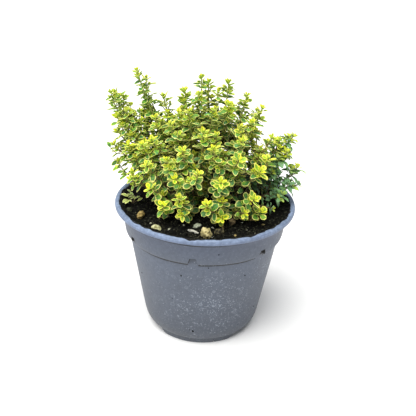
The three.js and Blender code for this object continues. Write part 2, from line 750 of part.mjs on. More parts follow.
const stems = [];
const variegatedTips = [...VARIEGATED, ...backStems()];
variegatedTips.forEach((tips, index) => {
  const name = stemName("variegated_stem", index + 1);
  stems.push({ name, tips, ranks: VARIEGATED_RANKS, colour: VARIEGATED_COLOUR });
});
GREEN.forEach((tips, index) => {
  const name = stemName("green_stem", index + 1);
  stems.push({ name, tips, ranks: GREEN_RANKS, colour: GREEN_COLOUR });
});
stems.push({
  name: "seedling",
  tips: [SEEDLING_TIP],
  foot: SEEDLING_FOOT,
  ranks: GREEN_RANKS.slice(0, 2),
  colour: GREEN_COLOUR,
});
stems.forEach((stem, index) => {
  stem.number = index;
  growStem(stem);
  stem.shoots.forEach((shoot, order) => {
    shoot.order = order;
  });
});
for (let rank = 0; rank < VARIEGATED_RANKS.length; rank++) {
  for (const stem of stems) {
    stem.shoots.forEach((shoot) => growRank(shoot, rank));
  }
}

const holes = stems.map((stem) => {
  const [low, high] = stem.shoots[0].rings;
  const line = high.middle.clone().sub(low.middle);
  const start = low.middle.clone().addScaledVector(line.clone().normalize(), -SOIL_GAP);
  const length = start.distanceTo(high.middle);
  const width = (LEADER_RADIUS + HOLE_GAP) * 2;
  const hole = new THREE.BoxGeometry(width, length, width).translate(0, length / 2, 0);
  const lengthwise = new THREE.Vector3(0, 1, 0);
  hole.applyQuaternion(new THREE.Quaternion().setFromUnitVectors(lengthwise, line.normalize()));
  return solidFrom(hole.translate(start.x, start.y, start.z));
});
const dents = STONES.map((stone) => solidFrom(stoneGeometry(stone, STONE_GAP)));

plant.add(named("pot", potSolid(), material(POT_COLOUR, 0.55)));
plant.add(named("soil", soilSolid(holes, dents), material(SOIL_COLOUR, 0.95)));
for (const stone of STONES) {
  const finish = material(STONE_COLOURS[stone.name], 0.9);
  plant.add(named(stone.name, solidFrom(stoneGeometry(stone, 0)), finish));
}
for (const stem of stems) {
  plant.add(named(stem.name, stemSolid(stem.leader), material(stem.colour, 0.6)));
}

export default plant;
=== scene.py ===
import math
import random
from functools import partial

import bmesh
import bpy
import numpy as np
from mathutils import Matrix, Vector, noise


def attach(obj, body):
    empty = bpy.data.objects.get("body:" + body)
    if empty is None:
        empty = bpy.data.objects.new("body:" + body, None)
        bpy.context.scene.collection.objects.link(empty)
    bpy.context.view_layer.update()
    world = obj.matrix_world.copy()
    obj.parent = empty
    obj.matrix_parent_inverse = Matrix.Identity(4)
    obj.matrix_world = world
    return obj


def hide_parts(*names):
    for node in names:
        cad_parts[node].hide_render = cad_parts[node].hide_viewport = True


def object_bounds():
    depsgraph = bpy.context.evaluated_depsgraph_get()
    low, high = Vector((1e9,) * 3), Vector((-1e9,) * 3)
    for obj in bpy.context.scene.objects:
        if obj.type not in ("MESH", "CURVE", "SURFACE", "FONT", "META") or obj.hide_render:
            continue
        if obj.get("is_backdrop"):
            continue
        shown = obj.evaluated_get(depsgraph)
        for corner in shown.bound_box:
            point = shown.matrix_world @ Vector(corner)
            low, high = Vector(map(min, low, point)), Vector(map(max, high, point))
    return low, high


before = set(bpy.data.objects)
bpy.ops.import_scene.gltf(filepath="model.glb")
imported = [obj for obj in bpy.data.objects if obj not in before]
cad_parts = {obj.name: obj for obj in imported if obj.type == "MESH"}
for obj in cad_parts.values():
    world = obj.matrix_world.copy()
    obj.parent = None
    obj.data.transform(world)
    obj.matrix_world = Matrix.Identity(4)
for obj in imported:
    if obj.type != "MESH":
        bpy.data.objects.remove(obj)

CAD_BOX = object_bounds()
MM = 0.001
UP = Vector((0, 0, 1))

# Pot, in millimetres: outline from the outer edge of its base, up over the lip and down inside to the floor
POT_SIDES = 160
BASE_HEIGHT = 4.0
BASE_MIDDLE_RADIUS = 12.0
LOBE_INNER_RADIUS = 33.0
POT_OUTSIDE = [
    (38.4, 4.0), (39.3, 4.35), (40.5, 5.3), (41.6, 6.9), (42.6, 9.3), (43.4, 12.2), (46.25, 28.0),
    (49.1, 44.0), (51.95, 60.0), (54.7, 75.6), (54.95, 76.5), (56.3, 76.6), (56.8, 76.9), (57.3, 77.6),
    (57.7, 79.0), (58.1, 81.4), (58.8, 88.4), (59.5, 93.9), (59.9, 94.6), (61.4, 94.8), (63.3, 95.1),
    (64.3, 95.5), (64.85, 96.15), (65.0, 96.9), (64.97, 97.7), (64.7, 98.5), (64.2, 99.05), (63.5, 99.4),
    (62.8, 99.5),
]
POT_INSIDE = [
    (62.1, 99.4), (61.6, 99.1), (61.2, 98.5), (60.8, 97.5), (60.1, 96.2), (58.9, 94.0), (57.6, 87.5),
    (54.2, 83.6), (53.4, 76.5), (48.2, 47.0), (42.0, 12.2), (40.6, 8.2), (38.0, 5.8), (20.0, 5.6), (4.0, 5.6),
]
BASE_RADIUS = POT_OUTSIDE[0][0]
LOBES = 3
LOBE_ARC = 82.0
LOBE_MIDDLE = -5.0
LOBE_BLEND = 9.0
LOBE_TAPER = 0.99
LOBE_RISE = 0.96
NOTCHES = 7
NOTCH_FIRST = -6.5
# Each notch is a trapezium cut in the collar down to the body wall: height, width and radius of its back
NOTCH_LOW = (76.3, 7.0, 54.98)
NOTCH_HIGH = (81.6, 3.9, 55.4)
NOTCH_FRONT = 64.0
COLLAR_FOOT_RADIUS = 56.0
DRAINS = 6
DRAIN_RADIUS = 1.9
DRAIN_CIRCLE = 27.0
# A small slot at the foot of the front lobe: bearing and radius of each corner
SLOT_CORNERS = ((15.2, 36), (16.8, 36), (16.8, 41), (15.2, 41))
SLOT_HEIGHT = 1.5

# Soil
SOIL_RADIUS = 58.15
SOIL_EDGE_HEIGHT = 94.6
SOIL_MOUND = 1.8
CROWN_RADIUS = 27.0
SOIL_CELLS = 132
SOIL_SIDE = [(57.8, 92.0), (56.6, 87.4), (53.4, 83.0), (52.6, 76.9), (41.3, 12.4), (37.2, 6.1)]
# Near the pot's lip the soil is heaped up and clings to it
HEAP_START = 52.0
HEAP_HEIGHT = 3.9
HEAP_WAVE = 1.5
HEAP_RADIUS = 61.2
CRUMB_MARGIN = 1.2
CRUMB_ROUGHNESS = 0.5
FIBRES = 130
FIBRE_STEP = 1.1
# Fibres start and end within these distances from the pot's middle
FIBRE_START = 54
FIBRE_END = 57

# The plant's shoots: the tip of each leader, then of its side shoots
VARIEGATED = [
    [(-50, 8, 190), (-44, 13, 183)], [(-65, 5, 175), (-62, -2, 160)], [(-63, 2, 148), (-54, -12, 143)],
    [(-32, 10, 172), (-46, 14, 163)], [(-17, 4, 178), (-20, -13, 168)], [(-6, 15, 185), (-7, -2, 178)],
    [(-1, 22, 180), (6, 12, 176)], [(13, 16, 182), (13, -9, 174)], [(26, 14, 174), (34, 24, 160)],
    [(37, 10, 166), (30, -4, 160)], [(44, -10, 152), (50, 0, 147)], [(60, 6, 148), (55, -4, 140)],
    [(-36, -8, 162), (-28, -4, 165)], [(-13, -17, 170), (4, -14, 172)], [(-25, -20, 162)],
    [(-3, -30, 161), (6, -26, 158)], [(-37, -22, 151), (-44, -18, 146)], [(22, -22, 163), (23, -29, 156)],
    [(-16, -35, 149), (-26, -36, 143)], [(-40, -30, 136), (-50, -22, 127)], [(-20, -41, 132), (-5, -43, 137)],
    [(21, -36, 145), (4, -36, 152)], [(36, -32, 136), (41, -24, 142)], [(10, -44, 132), (11, -42, 118)],
    [(33, -38, 118), (38, -33, 107)], [(-37, -36, 122), (-28, -40, 112)], [(-15, -44, 107), (-17, -44, 120)],
    [(12, -45, 106), (1, -46, 117)], [(27, -39, 108)], [(-52.5, -15, 119), (-62, 0, 126)], [(-66, 2, 138)],
]
GREEN = [[(58, 4, 136), (64, 0, 127)], [(66, -3, 115), (54, -14, 112)], [(47, -22, 104)]]
SEEDLING = [(-56, -4, 104)]
BACK_STEMS = 10
DOME_MIDDLE = (0, 4, 100)
DOME_HALF = (60, 52, 80)
GOLDEN_TURN = 137.508
SEED = 1207

# Leaf pairs on a shoot, from its tip down, in millimetres and degrees
PAIR_BELOW = [0.0, 0.5, 1.1, 2.3, 4.8, 8.2, 12.0, 16.4, 21.0, 25.8, 31.0, 36.8, 42.8, 49.2, 56.0]
PAIR_LENGTH = [2.3, 3.7, 5.0, 6.0, 6.4, 6.6, 6.7, 6.7, 6.6, 6.5, 6.4, 6.2, 6.1, 6.0, 5.8]
PAIR_RISE = [58, 37, 21, 10, 4, 2, 0, -2, -4, -4, -5, -6, -6, -6, -6]
# How readily a shoot puts out short sprigs, where it differs from the rest
BUSHINESS = {
    "variegated_stem_01": 0.1, "variegated_stem_02": 0.65, "variegated_stem_03": 0.5, "green_stem_02": 0.45,
    "green_stem_03": 0.0,
}
USUAL_BUSHINESS = 0.36
LOW_BUSHINESS = 0.18
GREEN_BUSHINESS = 0.55
LOW_STEM = 137.0
# How far below its tip a low shoot bears leaves: a leader, one leader that differs, and a side shoot
USUAL_LEAFY_BELOW = 22.0
LEAFY_BELOW = {"variegated_stem_30": 12.0}
LOW_SIDE_LEAFY = 15.0
# A leader starts below the soil and is bare at its foot, and more so where it is longer than this
ROOT_DEPTH = 9.0
BARE_FOOT = 4.0
LEAFY_LENGTH = 60.0
# The pairs at a tip that have nothing in their axils
BUD_PAIRS = 4
# Leaves keep clear of the pot's lip and of the soil
LIP_CLEAR_RADIUS = 55.5
LIP_CLEAR_HEIGHT = 101.2
SOIL_CLEARANCE = 0.8
# Shoots whose leaves are small, and shoots whose leaves are plain green below a yellow tip
STEM_SIZE = {"green_stem_03": 0.7}
GREEN_LEAVED = {"variegated_stem_12"}
# Side shoots that the solids leave out: the tip of each
EXTRA_TIPS = {"variegated_stem_02": [(-66.6, 0, 176.5)]}
# The seedling's leaves: foot and tip of each
SEEDLING_LEAVES = [
    ((-54.1, 1.5, 101.0), (-56.9, 3.3, 102.5)), ((-55.3, -4.6, 100.5), (-60.4, -3.7, 102.0)),
    ((-55.6, -7.9, 99.8), (-58.0, -13.4, 100.0)), ((-55.0, -8.4, 99.6), (-56.2, -14.6, 99.8)),
    ((-54.8, -8.6, 99.4), (-52.2, -10.3, 99.6)), ((-54.1, -1.6, 101.0), (-55.5, -6.5, 102.4)),
    ((-51.5, -2.0, 100.5), (-53.0, -6.9, 99.8)), ((-50.9, -3.0, 100.2), (-50.5, -6.9, 99.6)),
    ((-49.9, -5.1, 99.6), (-47.0, -3.9, 101.0)), ((-48.2, -8.4, 99.2), (-44.9, -5.3, 100.2)),
    ((-54.7, -0.1, 101.5), (-51.9, -3.1, 101.6)), ((-55.1, -5.6, 100.0), (-52.4, -5.8, 101.8)),
]
# Leaves on long stalks at the left: the shoot they come from, how far up it, and the stalk's other points
LONE_LEAVES = [
    ("variegated_stem_31", 0.84, [(-64.2, 0, 131.8), (-66.6, 0, 134), (-67.9, 0, 136)], (-69.9, 0, 140)),
    ("variegated_stem_31", 0.8, [(-62.2, 0, 127.4), (-63.6, 0, 126.6)], (-67.3, 0, 122.2)),
]


# Colour values are written as sRGB and turned to linear light
def linear(value):
    channels = [int(value[i:i + 2], 16) / 255 for i in (1, 3, 5)]
    return tuple(c / 12.92 if c <= 0.04045 else ((c + 0.055) / 1.055) ** 2.4 for c in channels) + (1.0,)


def set_inputs(node, inputs):
    """Gives a node's inputs, by name or in their order, a link, a colour or a value each."""
    for key, value in inputs.items() if isinstance(inputs, dict) else enumerate(inputs):
        if isinstance(value, bpy.types.NodeSocket):
            node.id_data.links.new(value, node.inputs[key])
        else:
            node.inputs[key].default_value = linear(value) if isinstance(value, str) else value


def add_node(tree, kind, inputs=(), output=None, stops=(), **settings):
    """Adds a shader node and returns the output or outputs named, or else the first one in use."""
    node = tree.nodes.new("ShaderNode" + kind)
    for name, value in settings.items():
        setattr(node, name, value)
    set_inputs(node, inputs)
    if stops:
        ramp = node.color_ramp
        while len(ramp.elements) < len(stops):
            ramp.elements.new(1.0)
        for element, (place, colour) in zip(ramp.elements, stops):
            element.position = place
            element.color = linear(colour)
    if isinstance(output, tuple):
        return [node.outputs[name] for name in output]
    if output:
        return node.outputs[output]
    return next(socket for socket in node.outputs if socket.enabled)


def new_material(name):
    """A new material, its shader, and the function that adds nodes to its tree."""
    material = bpy.data.materials.new(name)
    material.use_nodes = True
    tree = material.node_tree
    return material, tree.nodes["Principled BSDF"], partial(add_node, tree)


# Modelling helpers
def start_clean():
    if bpy.context.mode != "OBJECT":
        bpy.ops.object.mode_set(mode="OBJECT")
    bpy.ops.object.select_all(action="DESELECT")


def choose(obj):
    start_clean()
    obj.select_set(True)
    bpy.context.view_layer.objects.active = obj


def new_object(name, data):
    obj = bpy.data.objects.new(name, data)
    bpy.context.scene.collection.objects.link(obj)
    return obj


def turn_normals_out():
    """In edit mode, turns the faces of every closed body outwards."""
    bpy.ops.mesh.select_all(action="SELECT")
    bpy.ops.mesh.normals_make_consistent(inside=False)


def select_where(obj, test, kind="VERT"):
    """In edit mode, selects what lies where test says: vertices by place, faces by middle and normal."""
    bpy.ops.mesh.select_mode(type=kind)
    bpy.ops.mesh.select_all(action="DESELECT")
    mesh = bmesh.from_edit_mesh(obj.data)
    if kind == "VERT":
        for vertex in mesh.verts:
            vertex.select = test(vertex.co / MM)
    elif kind == "EDGE":
        for edge in mesh.edges:
            edge.select = all(test(vertex.co / MM) for vertex in edge.verts)
    else:
        for face in mesh.faces:
            face.select = test(face.calc_center_median() / MM, face.normal)
    mesh.select_flush_mode()
    bmesh.update_edit_mesh(obj.data)


def apply_modifier(obj, kind, **settings):
    choose(obj)
    modifier = obj.modifiers.new(kind.lower(), kind)
    for name, value in settings.items():
        setattr(modifier, name, value)
    bpy.ops.object.modifier_apply(modifier=modifier.name)


def around(degrees, radius, height):
    """A point at an angle from the front (-Y) towards +X."""
    angle = math.radians(degrees)
    return Vector((radius * math.sin(angle), -radius * math.cos(angle), height))


def angle_of(point):
    return math.degrees(math.atan2(point.x, -point.y))


def from_middle(angle, middle):
    return abs((angle - middle + 180) % 360 - 180)


def finished(obj, name, slot, nodes, materials):
    obj.name = name
    obj.data.name = name
    obj.data.materials.clear()
    for material in materials:
        obj.data.materials.append(material)
    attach(obj, "root")
    if nodes:
        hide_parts(*nodes)
    return obj


# Pot
def turn_up(outline):
    """Extrudes the selected ring of edges through each (radius, height) of an outline, from the first."""
    for (radius, height), (next_radius, next_height) in zip(outline, outline[1:]):
        rise = (next_height - height) * MM
        bpy.ops.mesh.extrude_region_move(TRANSFORM_OT_translate={"value": (0, 0, rise)})
        size = next_radius / radius
        bpy.ops.transform.resize(value=(size, size, 1), center_override=(0, 0, next_height * MM))


def raise_lobes(pot):
    """Draws three arcs of the base down into foot lobes whose ends run softly up into the base."""
    half = LOBE_ARC / 2
    middles = [LOBE_MIDDLE + index * 360 / LOBES for index in range(LOBES)]

    def in_lobe(middle_point, normal):
        radius = math.hypot(middle_point.x, middle_point.y)
        angle = angle_of(middle_point)
        near = min(from_middle(angle, middle) for middle in middles)
        return normal.z < -0.9 and LOBE_INNER_RADIUS < radius < BASE_RADIUS and near < half + LOBE_BLEND

    select_where(pot, in_lobe, "FACE")
    bpy.ops.mesh.extrude_region_move(TRANSFORM_OT_translate={"value": (0, 0, -BASE_HEIGHT * MM)})
    bpy.ops.transform.resize(value=(LOBE_TAPER, LOBE_TAPER, 1), center_override=(0, 0, 0))
    step = 360 / POT_SIDES
    for number in range(int(LOBE_BLEND / step) + 2):
        offset = half + LOBE_BLEND - number * step
        share = max(0.0, min(1.0, (offset - half + step) / (LOBE_BLEND + step)))
        if share <= 0:
            break
        lift = BASE_HEIGHT * share * share * (3 - 2 * share) * LOBE_RISE

        def at_end(point):
            near = min(from_middle(angle_of(point), middle) for middle in middles)
            return point.z < 0.01 and abs(near - offset) < step * 0.5

        select_where(pot, at_end)
        bpy.ops.transform.translate(value=(0, 0, lift * MM))


def cutter_block(corners_low, corners_high):
    """A closed block between two four-sided faces, as a cutting tool."""
    mesh = bpy.data.meshes.new("cutter")
    faces = [(3, 2, 1, 0), (4, 5, 6, 7), (0, 1, 5, 4), (1, 2, 6, 5), (2, 3, 7, 6), (3, 0, 4, 7)]
    mesh.from_pydata([corner * MM for corner in corners_low + corners_high], [], faces)
    obj = new_object("cutter", mesh)
    choose(obj)
    bpy.ops.object.mode_set(mode="EDIT")
    turn_normals_out()
    bpy.ops.object.mode_set(mode="OBJECT")
    return obj


def notch_block(angle):
    turn = Matrix.Rotation(math.radians(angle), 3, "Z")
    corners = []
    for height, width, back in (NOTCH_LOW, NOTCH_HIGH):
        ring = [(-1, NOTCH_FRONT), (1, NOTCH_FRONT), (1, back), (-1, back)]
        corners.append([turn @ Vector((side * width / 2, -radius, height)) for side, radius in ring])
    return cutter_block(*corners)


def drain_block(angle):
    place = around(angle, DRAIN_CIRCLE, BASE_HEIGHT) * MM
    depth = 2 * BASE_HEIGHT * MM
    bpy.ops.mesh.primitive_cylinder_add(vertices=24, radius=DRAIN_RADIUS * MM, depth=depth, location=place)
    return bpy.context.object


def join(objects, name):
    start_clean()
    for obj in objects:
        obj.select_set(True)
    bpy.context.view_layer.objects.active = objects[0]
    bpy.ops.object.join()
    objects[0].name = name
    return objects[0]


def cut(obj, cutters):
    tool = join(cutters, "cutters")
    apply_modifier(obj, "BOOLEAN", operation="DIFFERENCE", object=tool, solver="EXACT")
    bpy.data.objects.remove(tool)


def model_pot():
    first = POT_OUTSIDE[0]

    def on_first_ring(point):
        return abs(point.z - first[1]) < 0.01 and abs(math.hypot(point.x, point.y) - first[0]) < 0.05

    start_clean()
    bpy.ops.mesh.primitive_circle_add(
        vertices=POT_SIDES, radius=first[0] * MM, fill_type="NOTHING", location=(0, 0, first[1] * MM)
    )
    pot = bpy.context.object
    bpy.ops.object.transform_apply(location=True, rotation=True, scale=True)
    bpy.ops.object.mode_set(mode="EDIT")
    bpy.ops.mesh.select_all(action="SELECT")
    turn_up(POT_OUTSIDE + POT_INSIDE)
    bpy.ops.mesh.edge_face_add()
    select_where(pot, on_first_ring, "EDGE")
    turn_up([first, (LOBE_INNER_RADIUS, BASE_HEIGHT), (BASE_MIDDLE_RADIUS, BASE_HEIGHT)])
    bpy.ops.mesh.edge_face_add()
    bpy.ops.mesh.select_all(action="SELECT")
    bpy.ops.mesh.remove_doubles(threshold=0.01 * MM)
    turn_normals_out()
    raise_lobes(pot)
    bpy.ops.mesh.select_all(action="SELECT")
    bpy.ops.mesh.remove_doubles(threshold=0.02 * MM)
    bpy.ops.object.mode_set(mode="OBJECT")
    cut(pot, [notch_block(NOTCH_FIRST + index * 360 / NOTCHES) for index in range(NOTCHES)])
    drains = [drain_block(LOBE_MIDDLE + (index + 0.5) * 360 / DRAINS) for index in range(DRAINS)]
    slot = [[around(angle, radius, height) for angle, radius in SLOT_CORNERS] for height in (-1, SLOT_HEIGHT)]
    cut(pot, drains + [cutter_block(*slot)])
    choose(pot)
    bpy.ops.object.shade_smooth_by_angle(angle=math.radians(34))
    return pot


# Soil
def soil_height(x, y):
    beyond = (math.hypot(x, y) - CROWN_RADIUS) / (SOIL_RADIUS - CROWN_RADIUS)
    outward = max(0.0, min(1.0, beyond))
    clods = 0.9 * math.sin(x * 0.31 + 1.1) * math.cos(y * 0.27 - 0.6) + 0.6 * math.sin((x - y) * 0.53)
    return SOIL_EDGE_HEIGHT + SOIL_MOUND * (1 - outward * outward) + clods * min(1.0, outward * 2.5)


def soil_relief(x, y):
    """Clods of a few millimetres with crumbs on them."""
    lumps = noise.fractal(Vector((x * 0.16, y * 0.16, 3.7)), 0.9, 2.1, 3)
    crumbs = noise.fractal(Vector((x * 0.55, y * 0.55, 9.1)), 0.8, 2.2, 2)
    return 1.2 * lumps + 0.9 * crumbs


def surface_at(x, y):
    return soil_height(x, y) + soil_relief(x, y)


def model_soil():
    start_clean()
    bpy.ops.mesh.primitive_grid_add(x_subdivisions=SOIL_CELLS, y_subdivisions=SOIL_CELLS, size=2)
    soil = bpy.context.object
    count = len(soil.data.vertices)
    co = np.empty(count * 3)
    soil.data.vertices.foreach_get("co", co)
    co = co.reshape(-1, 3)
    across = co[:, 0] * np.sqrt(1 - co[:, 1] ** 2 / 2) * SOIL_RADIUS
    deep = co[:, 1] * np.sqrt(1 - co[:, 0] ** 2 / 2) * SOIL_RADIUS
    height = np.array([surface_at(x, y) for x, y in zip(across, deep)])
    reach = np.hypot(across, deep)
    heap = np.clip((reach - HEAP_START) / (SOIL_RADIUS - HEAP_START), 0, 1) ** 1.6
    wave = np.array([noise.noise(Vector((x * 0.13, y * 0.13, 5.5))) for x, y in zip(across, deep)])
    height += heap * (HEAP_HEIGHT + HEAP_WAVE * wave)
    spread = 1 + heap * (HEAP_RADIUS / SOIL_RADIUS - 1)
    across, deep = across * spread, deep * spread
    soil.data.vertices.foreach_set("co", (np.column_stack([across, deep, height]) * MM).ravel())
    soil.data.update()
    bpy.ops.object.mode_set(mode="EDIT")
    bpy.ops.mesh.select_mode(type="EDGE")
    bpy.ops.mesh.select_all(action="DESELECT")
    bpy.ops.mesh.select_non_manifold()
    radius = HEAP_RADIUS
    for next_radius, next_height in SOIL_SIDE:
        bpy.ops.mesh.extrude_region_move(TRANSFORM_OT_translate={"value": (0, 0, 0)})
        size = next_radius / radius
        bpy.ops.transform.resize(value=(size, size, 0), center_override=(0, 0, next_height * MM))
        radius = next_radius
    bpy.ops.mesh.edge_face_add()
    turn_normals_out()
    bpy.ops.object.mode_set(mode="OBJECT")
    bpy.ops.object.shade_smooth()
    return soil


def crumb_mesh(seed, detail):
    """One knobbly crumb of radius 1, which is copied."""
    start_clean()
    bpy.ops.mesh.primitive_ico_sphere_add(subdivisions=detail, radius=1)
    obj = bpy.context.object
    for vertex in obj.data.vertices:
        shift = noise.fractal(vertex.co * 1.1 + Vector((seed * 3.1, 0, 0)), 0.8, 2.0, 3)
        vertex.co *= 1 + CRUMB_ROUGHNESS * shift
    mesh = obj.data
    bpy.data.objects.remove(obj)
    return mesh


def scatter(meshes, placings, name):
    """Copies of the crumbs at (matrix, mesh number), joined as one object."""
    copies = []
    for matrix, number in placings:
        mesh = meshes[number].copy()
        mesh.transform(matrix)
        copies.append(new_object(name, mesh))
    return join(copies, name)


def crumb_matrix(rng, place, half, sink):
    """Places a crumb of these half sizes, turned at random and sunk by a share of its height."""
    turn = Matrix.Rotation(rng.uniform(0, 6.28), 4, "Z") @ Matrix.Rotation(rng.uniform(-0.5, 0.5), 4, "X")
    size = Matrix.Diagonal((half[0] * MM, half[1] * MM, half[2] * MM, 1))
    return Matrix.Translation(Vector((place[0], place[1], place[2] - sink * half[2])) * MM) @ turn @ size


def scattered_crumbs(name, count, sizes, seed, meshes, inner):
    """Crumbs strewn between the inner radius and the soil's edge."""
    rng = random.Random(seed)
    placings = []
    while len(placings) < count:
        x = rng.uniform(-SOIL_RADIUS, SOIL_RADIUS)
        y = rng.uniform(-SOIL_RADIUS, SOIL_RADIUS)
        if not inner < math.hypot(x, y) < SOIL_RADIUS - CRUMB_MARGIN:
            continue
        size = rng.uniform(*sizes) * (0.5 + 0.5 * rng.random())
        half = (size, size * rng.uniform(0.6, 1.0), size * rng.uniform(0.5, 0.8))
        matrix = crumb_matrix(rng, (x, y, surface_at(x, y)), half, 0.1)
        placings.append((matrix, rng.randrange(len(meshes))))
    return scatter(meshes, placings, name)


def tubes(name, lines):
    """Thin closed tubes along lines of (point in mm, radius in mm), as one mesh."""
    curve = bpy.data.curves.new(name, "CURVE")
    curve.dimensions = "3D"
    curve.bevel_depth = MM
    curve.bevel_resolution = 1
    curve.use_fill_caps = True
    for line in lines:
        spline = curve.splines.new("POLY")
        spline.points.add(len(line) - 1)
        for point, (place, radius) in zip(spline.points, line):
            point.co = (*(place * MM), 1)
            point.radius = radius
    choose(new_object(name, curve))
    bpy.ops.object.convert(target="MESH")
    return bpy.context.object


def model_fibres():
    """Peat fibres and bits of root that lie on the soil."""
    rng = random.Random(SEED + 41)
    lines = []
    field = FIBRE_START + 1
    while len(lines) < FIBRES:
        x, y = rng.uniform(-field, field), rng.uniform(-field, field)
        if math.hypot(x, y) > FIBRE_START:
            continue
        heading, turning = rng.uniform(0, 6.28), rng.uniform(-0.35, 0.35)
        line = []
        for step in range(rng.randint(4, 9)):
            lift = 0.25 + 0.25 * math.sin(step * 1.3)
            line.append((Vector((x, y, surface_at(x, y) + lift)), rng.uniform(0.09, 0.16)))
            x, y = x + FIBRE_STEP * math.cos(heading), y + FIBRE_STEP * math.sin(heading)
            heading += turning
        if all(math.hypot(place.x, place.y) < FIBRE_END for place, _ in line):
            lines.append(line)
    return tubes("soil_fibres", lines)


# Stones and bits on the soil: node, middle, half sizes, turn, roughness of form, noise scale, and lobes and
# hollows as (bearing, rise, size, spread)
STONES = [
    (
        "pumice_lump", (1.9, -50.2), (3.6, 3.7, 3.9), 20, 0.3, 1.5,
        [(-95, 55, 0.5, 0.07), (80, -10, 0.25, 0.1)],
    ),
    ("dark_stone", (10.2, -44.5), (3.3, 2.9, 2.9), 70, 0.36, 1.3, [(30, 40, 0.2, 0.1)]),
    ("bark_sliver", (-7, -45.8), (4.4, 1.3, 1.2), -28, 0.2, 2.2, [(0, 0, -0.4, 0.25), (180, 0, -0.4, 0.25)]),
    ("perlite_lump", (-4.5, -38.8), (2.7, 2.0, 1.9), 25, 0.3, 1.8, [(60, 40, 0.25, 0.1)]),
    ("pale_stone", (-32, -42), (3.4, 2.6, 2.6), -35, 0.14, 0.9, [(90, 0, 0.3, 0.12), (-60, 10, 0.2, 0.1)]),
    (
        "ochre_lump", (-44.1, -25.7), (2.4, 3.5, 2.7), -25, 0.26, 1.4,
        [(0, 60, -0.5, 0.06), (180, 30, 0.35, 0.1)],
    ),
    ("mossy_lump", (-53, -16.8), (2.5, 2.5, 2.3), 10, 0.3, 1.4, []),
    ("tan_stone", (33, -26), (3.3, 2.1, 2.1), 15, 0.3, 1.3, [(80, 30, 0.25, 0.08)]),
    ("brown_stone", (19, -31.4), (2.7, 2.5, 2.5), 50, 0.3, 1.3, []),
]
# Bits of grit on the soil, as (x, y, size)
TAN_BITS = [
    (12.5, -38.5, 1.5), (-30.1, -30.2, 1.3), (37.5, -24.2, 1.1), (40.8, -28.3, 1.1), (21.1, -47.6, 1.0),
]
PALE_BITS = [
    (-25.2, -27.2, 1.0), (-36.4, -34.5, 0.9), (-23.1, -42.8, 1.1), (-13.6, -40.5, 0.6), (26.3, -29.5, 0.7),
    (53, 1.3, 0.7), (34.6, -41.4, 0.7), (24.7, -18.1, 0.8), (5.8, -38.3, 1.0),
]
# Dried dirt on the wall, as (bearing, height, radius of the wall, size)
DIRT_SPECKS = [
    (-15.5, 64.7, 52.8, 0.7), (34.5, 62.3, 52.4, 0.55), (-6.5, 13.8, 43.75, 0.8), (10.5, 85.8, 58.5, 0.5),
    (58, 24.7, 45.6, 0.6), (4.5, 73.5, 54.3, 0.45), (-24.5, 41.9, 48.7, 0.4), (-9.5, 14.6, 43.85, 0.45),
    (39, 15.1, 43.9, 0.5), (-60, 50, 50.2, 0.6), (118, 38, 48.0, 0.7), (165, 63, 52.5, 0.6),
    (-140, 20, 44.8, 0.8),
]


def model_stone(number, at, half, turn, rough, fineness, lobes):
    """A lumpy, pitted ball, drawn out to its lobes, stretched to its sizes and set into the soil."""
    start_clean()
    bpy.ops.mesh.primitive_ico_sphere_add(subdivisions=4, radius=1)
    obj = bpy.context.object
    shift = Vector((number * 5.3, number * 1.7, 0))
    for vertex in obj.data.vertices:
        direction = vertex.co.normalized()
        lumps = noise.fractal(direction * fineness + shift, 0.9, 2.0, 4)
        pits = noise.noise(direction * 6.5 + shift)
        reach = 0.96 + rough * lumps - 0.16 * max(0.0, pits - 0.1)
        for bearing, rise, size, spread in lobes:
            level = math.cos(math.radians(rise))
            way = around(bearing, level, math.sin(math.radians(rise)))
            reach += size * math.exp((direction.dot(way) - 1) / spread)
        vertex.co = direction * reach
    obj.data.transform(Matrix.Diagonal((half[0] * MM, half[1] * MM, half[2] * MM, 1)))
    obj.data.transform(Matrix.Rotation(math.radians(turn), 4, "Z"))
    height = soil_height(*at) + half[2] * 0.42
    obj.data.transform(Matrix.Translation(Vector((at[0], at[1], height)) * MM))
    bpy.ops.object.shade_smooth()
    return obj


def grit_bits(name, places, meshes):
    rng = random.Random(SEED + len(places))
    placings = []
    for x, y, size in places:
        half = (size, size * 0.7, size * 0.7)
        matrix = crumb_matrix(rng, (x, y, surface_at(x, y) + 0.3), half, 0.0)
        placings.append((matrix, rng.randrange(len(meshes))))
    return scatter(meshes, placings, name)


def model_dirt_specks(meshes):
    """Flat crumbs of dried dirt, stuck on the wall."""
    placings = []
    for number, (bearing, height, radius, size) in enumerate(DIRT_SPECKS):
        turn = Matrix.Rotation(math.radians(bearing), 4, "Z")
        form = Matrix.Diagonal((size * 0.8 * MM, 0.22 * MM, size * MM, 1))
        place = Matrix.Translation(around(bearing, radius, height) * MM)
        placings.append((place @ turn @ form, number % len(meshes)))
    return scatter(meshes, placings, "dirt_specks")


# Leaves: each kind is modelled once, lying along +Y with its upper side up
LEAF_LENGTH = 6
LEAF_THICKNESS = 0.26
FULL_WIDTHS = [0.6, 3.0, 4.0, 3.2, 1.1]
